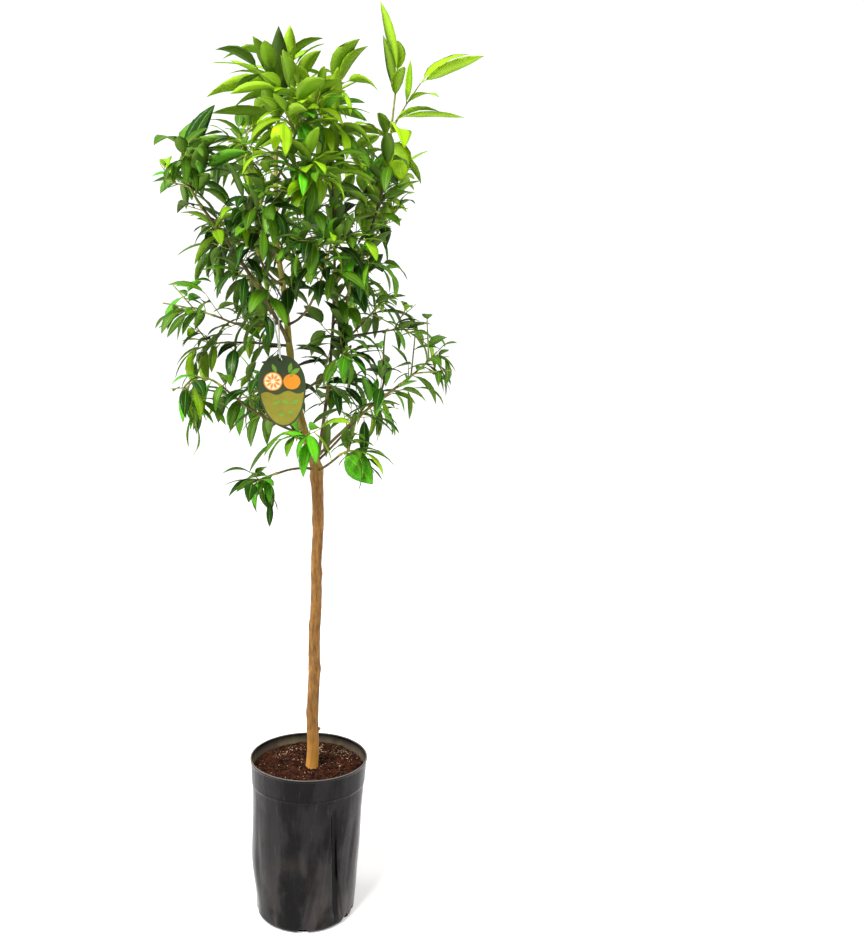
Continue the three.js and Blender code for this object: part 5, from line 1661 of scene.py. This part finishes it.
# Leaves
def blades_part(leaves, random):
    """All leaves as one part: each a closed blade with a fold, arched halves and a wavy edge.

    Along the leaf, the middle line is the quadratic curve through root, middle and tip. Its half
    width is that of the leaf times v^a (1 - v)^b past the petiole, over its own highest value.
    Across it, the height above the middle line is half width times (fold |u| - arch u^2 + wave
    u^2 sin(turns of v)), and the blade twists evenly along it. The lower side is a keel.
    """
    count = len(leaves)
    root, middle, tip, side, first = (
        np.array([getattr(leaf, key) for leaf in leaves])[:, None]
        for key in ("root", "middle", "tip", "side", "first")
    )
    half_width = np.array([leaf.width for leaf in leaves])[:, None] / 2
    root = root - first * PETIOLE_SUNK
    rows = np.array([0, *BLADE_ROWS, 1])[None, :]
    w, s = LEAF_WIDEST, rows[..., None]
    centre = (root * (s - w) * (s - 1) / w + middle * s * (s - 1) / (w * (w - 1))
              + tip * s * (s - w) / (1 - w))
    along = unit(root * (2 * s - w - 1) / w + middle * (2 * s - 1) / (w * (w - 1))
                 + tip * (2 * s - w) / (1 - w))
    across = unit(side - (side * along).sum(2, keepdims=True) * along)
    up = np.cross(along, across)
    twist = np.radians(random.uniform(*BLADE_TWISTS, (count, 1, 1))) * s
    cos, sin = np.cos(twist), np.sin(twist)
    across, up = across * cos + up * sin, up * cos - across * sin
    a, b = BLADE_RISE
    past = np.clip((rows - 0.1) / 0.9, 0, 1)
    peak = (a / (a + b)) ** a * (b / (a + b)) ** b
    half = half_width * past ** a * (1 - past) ** b / peak
    half = np.maximum(half, PETIOLE_RADIUS * (rows < 0.95))
    fold = random.uniform(*BLADE_FOLDS, (count, 1, 1))
    wave = random.uniform(*BLADE_WAVES, (count, 1, 1))
    phase = random.uniform(0, 2 * np.pi, (count, 1, 1))
    u = np.array(BLADE_PLACES)[None, None]
    swing = np.sin(BLADE_WAVE_COUNT * 2 * np.pi * past[..., None] + phase + np.pi * (u > 0))
    rise = half[..., None] * (fold * np.abs(u) - BLADE_ARCH * u ** 2 + wave * u ** 2 * swing)
    top = (centre[:, :, None] + across[:, :, None] * (half[..., None] * u)[..., None]
           + up[:, :, None] * rise[..., None])
    thick = BLADE_THICKNESS + PETIOLE_RADIUS * BLADE_KEEL * (1 - past)
    keel = centre - up * thick[..., None]
    rings = np.concatenate([top, keel[:, :, None]], axis=2)[:, 1:-1]
    inner, columns = rings.shape[1:3]
    points = np.concatenate([rings.reshape(count, -1, 3), centre[:, :1], centre[:, -1:]], axis=1)
    each = points.shape[1]
    shift = each * np.arange(count)[:, None, None]
    quads, ends = (faces(inner, columns)[:, ::-1] + shift for faces in (grid_faces, pole_faces))
    below = (np.arange(columns) >= columns - 2).astype(int)
    places = np.array([*BLADE_PLACES, 0]) / 2 + 0.5
    uv = np.stack(np.broadcast_arrays(places[None], np.array(BLADE_ROWS)[:, None]), axis=2)
    uv = np.concatenate([uv.reshape(-1, 2), [[0.5, 0], [0.5, 1]]])
    shade = random.uniform(0.02, 1, (count, 1, 2))
    return part(
        points, quads, ends,
        uv=np.tile(uv, (count, 1)), tint=np.broadcast_to(shade, (count, each, 2)),
        slots=(np.tile(below, (inner - 1) * count), np.tile(below, 2 * count)),
    )


# Kinds of leaf: the least score that a spray needs, and how rough its leaves are. A spray scores
# by its height on the right, its distance from the crown's middle line, and by chance.
KINDS = (
    ("young", 0.78, 0.46),
    ("fresh", 0.6, 0.44),
    ("bright", 0.55, 0.4),
    ("mid", 0.35, 0.4),
    ("dark", -9, 0.34),
)
SCORE_HEIGHTS = (1300, 1480)
SCORE_SIDES = (-200, -110)
SCORE_MIDDLE = -40
SCORE_WIDE = 250
SCORE = {"start": 0.3, "high": 0.42, "wide": 0.22, "chance": 0.26}
SCORE_SEED = 8


def kind_of(leaves, random):
    """Kind of a spray: young in the crest and to its right, older below, darker nearer the middle line.
    """
    x, y, z = np.mean([leaf.middle for leaf in leaves], axis=0)
    high = np.interp(z, SCORE_HEIGHTS, (0, 1)) * np.interp(x, SCORE_SIDES, (0, 1))
    wide = math.hypot(x - SCORE_MIDDLE, y) / SCORE_WIDE
    chance = random.uniform(-SCORE["chance"], SCORE["chance"])
    score = SCORE["start"] + SCORE["high"] * high + SCORE["wide"] * wide + chance
    return next(name for name, least, _ in KINDS if score >= least)


class TREE_OT_leaves(bpy.types.Operator):
    """Add the leaves, dealt out by spray into five kinds from young to old"""

    bl_idname = "potted_tree.leaves"
    bl_label = "Leaves"

    def execute(self, context):
        settings = context.scene.potted_tree.leaves
        random = np.random.default_rng(SCORE_SEED)
        sprays = {}
        for leaf in crown().leaves:
            sprays.setdefault(leaf.shoot, []).append(leaf)
        dealt = {name: [] for name, _, _ in KINDS}
        for leaves in sprays.values():
            kind = kind_of(leaves, random)
            for leaf in leaves:
                dealt[leaf.kind or kind].append(leaf)
        for name, _, gloss in KINDS:
            green = getattr(settings, name)
            top = leaf_top(f"{name}_leaf", green, settings.rib, gloss)
            under = leaf_under(f"{name}_leaf_underside", green, settings.under)
            blades = blades_part(dealt[name], random)
            add_piece(f"{name}_leaves", blades, [top, under], foliage_nodes())
        return {"FINISHED"}


# Hang tag
def on_tag(flat, ahead):
    """Points before the middle of the tag's thickness, from places across and up the tag."""
    tilt = math.radians(TAG["tilt"])
    across = np.array([math.cos(tilt), 0, math.sin(tilt)])
    up = np.array([-math.sin(tilt), 0, math.cos(tilt)])
    middle = np.array([TAG_HOLE["x"], TAG_HOLE["y"], TAG_HOLE["z"]], float) - up * HOLE_UP
    flat = np.asarray(flat, float)
    return middle + flat[:, :1] * across + flat[:, 1:] * up - np.array([0, ahead, 0])


def ink_plate(outline, centre, height, ink, sunk=0.0):
    """Plate of ink on the tag's face from a round outline: its height over it, and how far sunk."""
    face = TAG["thickness"] / 2
    depths = (face - sunk, face + height)
    body = closed_grid(np.array([on_tag(outline, ahead) for ahead in depths]))
    body["points"][-2:] = [on_tag([centre], ahead)[0] for ahead in depths]
    for faces in ("quad_slots", "triangle_slots"):
        body[faces][:] = INKS.index(ink)
    return body


def egg(turns, shrink=0.0):
    """Egg outline: half width times cos, and the top or bottom height times sin."""
    top = TAG["height"] * (1 - TAG_WIDEST) - shrink
    bottom = TAG["height"] * TAG_WIDEST - shrink
    reach = np.where(np.sin(turns) > 0, top, bottom)
    return np.stack([(TAG["width"] / 2 - shrink) * np.cos(turns), reach * np.sin(turns)], axis=1)


def tag_plate():
    """Egg plate with a round hole: both faces run from the hole's rim to the plate's edge."""
    outer = egg(turns_round(TAG_SIDES))
    hole = circle(0, HOLE_UP, TAG_HOLE["radius"], count=TAG_SIDES)
    half = TAG["thickness"] / 2
    back = [(hole + (outer * 0.995 - hole) * share, -half) for share in (0, 0.3, 0.7, 1)]
    front = [(flat, half) for flat, _ in reversed(back)]
    rim = [(outer, 0.1 - half), (outer, half - 0.1)]
    rings = np.array([on_tag(*row) for row in (*back, *rim, *front)])
    rows, columns = rings.shape[:2]
    return part(rings, (grid_faces(rows + 1, columns) % (rows * columns))[:, ::-1])


def circle(x, y, radius, squash=1.0, count=DISC_SIDES):
    """Round outline about a place."""
    turns = turns_round(count)
    return np.stack([x + radius * np.cos(turns), y + radius * squash * np.sin(turns)], axis=1)


def printed_leaf(x, y, size, heading):
    """Pointed leaf outline: a fifth of its length times sin(pi s)^0.8 on both sides, and its middle."""
    share = np.linspace(0, 1, 12)
    half = 0.2 * size * np.sin(np.pi * share) ** 0.8
    outline = np.concatenate([
        np.stack([share * size, half], axis=1), np.stack([share * size, -half], axis=1)[-2:0:-1],
    ])
    turn = math.radians(heading)
    cos, sin = math.cos(turn), math.sin(turn)
    turned = outline @ np.array([[cos, sin], [-sin, cos]])
    return (turned + [x, y])[::-1], (x + cos * size / 2, y + sin * size / 2)


def print_parts():
    """Print on the tag: a pale panel with a wavy top, a whole fruit, a fruit slice and sprigs."""
    panel = egg(turns_round(PANEL["sides"]), PANEL["margin"])
    top = PANEL["top"] + PANEL["wave"] * np.sin(panel[:, 0] / PANEL["stretch"])
    panel[:, 1] = np.minimum(panel[:, 1], top)
    parts = [ink_plate(panel, PANEL["middle"], PANEL["height"], "panel", PANEL["sunk"])]
    for x, y, radius, squash, height, ink in DISCS:
        parts.append(ink_plate(circle(x, y, radius, squash), (x, y), height, ink))
    for step in range(SLICE["segments"]):
        heading = 360 / SLICE["segments"] * step + SLICE["turn"]
        x = SLICE["x"] + SLICE["start"] * math.cos(math.radians(heading))
        y = SLICE["y"] + SLICE["start"] * math.sin(math.radians(heading))
        segment = printed_leaf(x, y, SLICE["length"], heading)
        parts.append(ink_plate(*segment, SLICE["height"], "fruit"))
    for leaf in SPRIGS:
        parts.append(ink_plate(*printed_leaf(*leaf), SPRIG_HEIGHT, "sprig"))
    return parts


def strap_part():
    """Strap: a flat band along a closed loop of two half circles joined by straight runs.

    Its section is |cos|^0.5 by |sin|^0.4 of a turn, times half its thickness and half its width.
    """
    points, _ = limb_paths()["upper_left"]
    headings = unit(np.diff(points, axis=0))
    top, heading = place_on(points, headings, STRAP["bough_share"])
    across = unit(np.array([-heading[1], heading[0], 0]))
    seat = np.array([TAG_HOLE["x"], TAG_HOLE["y"],
                     TAG_HOLE["z"] + TAG_HOLE["seat"] + STRAP["half_span"]], float)
    outline = []
    for centre, sideways, start, tall in (
        (top, across, 0, STRAP["crown"]),
        (seat, np.array([0, -1.0, 0]), 1, STRAP["half_span"]),
    ):
        wide = np.cross([0, 0, 1], sideways)
        for turn in np.pi * (start + np.linspace(0, 1, STRAP_ARC)):
            outward = sideways * math.cos(turn) + np.array([0, 0, math.sin(turn)])
            middle = centre + sideways * STRAP["half_span"] * math.cos(turn)
            outline.append((middle + np.array([0, 0, tall * math.sin(turn)]), outward, wide))
    middles, outwards, wides = (np.array(column) for column in zip(*outline))
    corners = 2 * np.pi * (np.arange(STRAP_SIDES) + 0.5) / STRAP_SIDES
    thick = np.sign(np.cos(corners)) * np.abs(np.cos(corners)) ** 0.5 * STRAP["thickness"] / 2
    broad = np.sign(np.sin(corners)) * np.abs(np.sin(corners)) ** 0.4 * STRAP["width"] / 2
    rings = middles[:, None] + outwards[:, None] * thick[:, None] + wides[:, None] * broad[:, None]
    quads = grid_faces(len(rings) + 1, len(corners)) % (len(rings) * len(corners))
    return part(rings, quads)


class TREE_OT_label(bpy.types.Operator):
    """Add the egg-shaped hang tag with its print, and its strap"""

    bl_idname = "potted_tree.label"
    bl_label = "Hang tag"

    def execute(self, context):
        settings = context.scene.potted_tree.label
        inks = [printed_card(f"print_{name}", getattr(settings, name)) for name in INKS]
        tag = joined([tag_plate(), *print_parts()])
        add_piece("hang_tag", tag, inks, ["label_tag"], smooth=False)
        plastic = printed_card("strap_plastic", settings.strap, 0.45)
        add_piece("tag_strap", strap_part(), [plastic], ["label_strap"])
        return {"FINISHED"}


# Stage
def put(name, data, axes, place):
    """Object in the scene with its own three directions, at a place in metres."""
    matrix = np.eye(4)
    matrix[:3] = np.column_stack([*axes, place])
    thing = bpy.data.objects.new(name, data)
    thing.matrix_world = Matrix(matrix.tolist())
    bpy.context.scene.collection.objects.link(thing)
    return thing


def add_light(name, place, size, power):
    """Soft square light that faces the tree."""
    data = bpy.data.lights.new(name, "AREA")
    data.shape = "SQUARE"
    data.size = size
    data.energy = power
    back = unit(np.array(place) - LIT_PLACE)
    across = unit(np.cross([0, 0, 1], back))
    put(name, data, (across, np.cross(back, across), back), place)


def add_camera(settings):
    """Camera in front of the tree, turned by yaw, pitch and roll."""
    forward = pointing(math.pi / 2 - settings.yaw, -settings.pitch)
    right = pointing(-settings.yaw, 0)
    up = np.cross(right, forward)
    cos, sin = math.cos(settings.roll), math.sin(settings.roll)
    data = bpy.data.cameras.new("camera")
    data.lens = settings.lens
    data.sensor_width = 36
    axes = (cos * right + sin * up, cos * up - sin * right, -forward)
    place = (0, -settings.camera_y, settings.camera_z)
    bpy.context.scene.camera = put("camera", data, axes, place)


def light_room(settings):
    """World: plain white to the camera, softer as light, and darker low in front of the tree.

    The darker part is the room behind the camera, which the pot's plastic mirrors in the middle.
    """
    world = bpy.data.worlds.new("studio")
    world.use_nodes = True
    tree = world.node_tree
    tree.nodes.clear()
    direction = add(tree, "SeparateXYZ", [add(tree, "TexCoord").outputs["Generated"]])
    ahead = add(tree, "MapRange", (direction.outputs[1], -0.35, -0.8))
    low = add(tree, "MapRange", (direction.outputs[2], 0.75, 0.3))
    share = add(tree, "Math", (ahead, low), operation="MULTIPLY")
    room = add(tree, "Mix", blend(share, settings.sky, settings.front), data_type="RGBA")
    seen = add(tree, "LightPath").outputs["Is Camera Ray"]
    background = add(tree, "Background", (
        add(tree, "Mix", blend(seen, room, settings.sky), data_type="RGBA"),
        add(tree, "MapRange", (seen, 0, 1, 0.52, 1.12)),
    ))
    add(tree, "OutputWorld", {"Surface": background})
    bpy.context.scene.world = world


class TREE_OT_stage(bpy.types.Operator):
    """Add the floor, the studio light and the camera"""

    bl_idname = "potted_tree.stage"
    bl_label = "Stage"

    def execute(self, context):
        settings = context.scene.potted_tree.stage
        sides = ((-1, -1), (1, -1), (1, 1), (-1, 1))
        corners = [(x * FLOOR_REACH, y * FLOOR_REACH, 0) for x, y in sides]
        floor = add_object("floor", part(corners, [[0, 1, 2, 3]]), [studio_floor(settings)])
        light_room(settings)
        for name, light in LIGHTS.items():
            add_light(name, *light)
        add_camera(settings)
        context.scene.view_settings.view_transform = "Standard"
        return {"FINISHED"}


class TREE_PT_panel(bpy.types.Panel):
    """Lists the pieces in the sidebar"""

    bl_idname = "TREE_PT_panel"
    bl_label = "Potted mandarin tree"
    bl_space_type = "VIEW_3D"
    bl_region_type = "UI"
    bl_category = "Potted Tree"

    def draw(self, context):
        for operator in OPERATORS:
            self.layout.operator(operator.bl_idname)


GROUPS = (
    TreePotSettings, TreeSoilSettings, TreeBarkSettings, TreeLeafSettings, TreeLabelSettings,
    TreeStageSettings, TreeSettings,
)
OPERATORS = (
    TREE_OT_pot, TREE_OT_soil, TREE_OT_trunk, TREE_OT_boughs, TREE_OT_twigs, TREE_OT_leaves,
    TREE_OT_label, TREE_OT_stage,
)


def register():
    """Adds the settings, the operators and the panel to Blender."""
    for item in (*GROUPS, *OPERATORS, TREE_PT_panel):
        bpy.utils.register_class(item)
    bpy.types.Scene.potted_tree = PointerProperty(type=TreeSettings)


def unregister():
    """Takes them out again."""
    del bpy.types.Scene.potted_tree
    for item in reversed((*GROUPS, *OPERATORS, TREE_PT_panel)):
        bpy.utils.unregister_class(item)


def main():
    """Builds the tree and its stage."""
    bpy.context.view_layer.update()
    register()
    for operator in OPERATORS:
        group, name = operator.bl_idname.split(".")
        getattr(getattr(bpy.ops, group), name)()


if __name__ == "__main__":
    main()
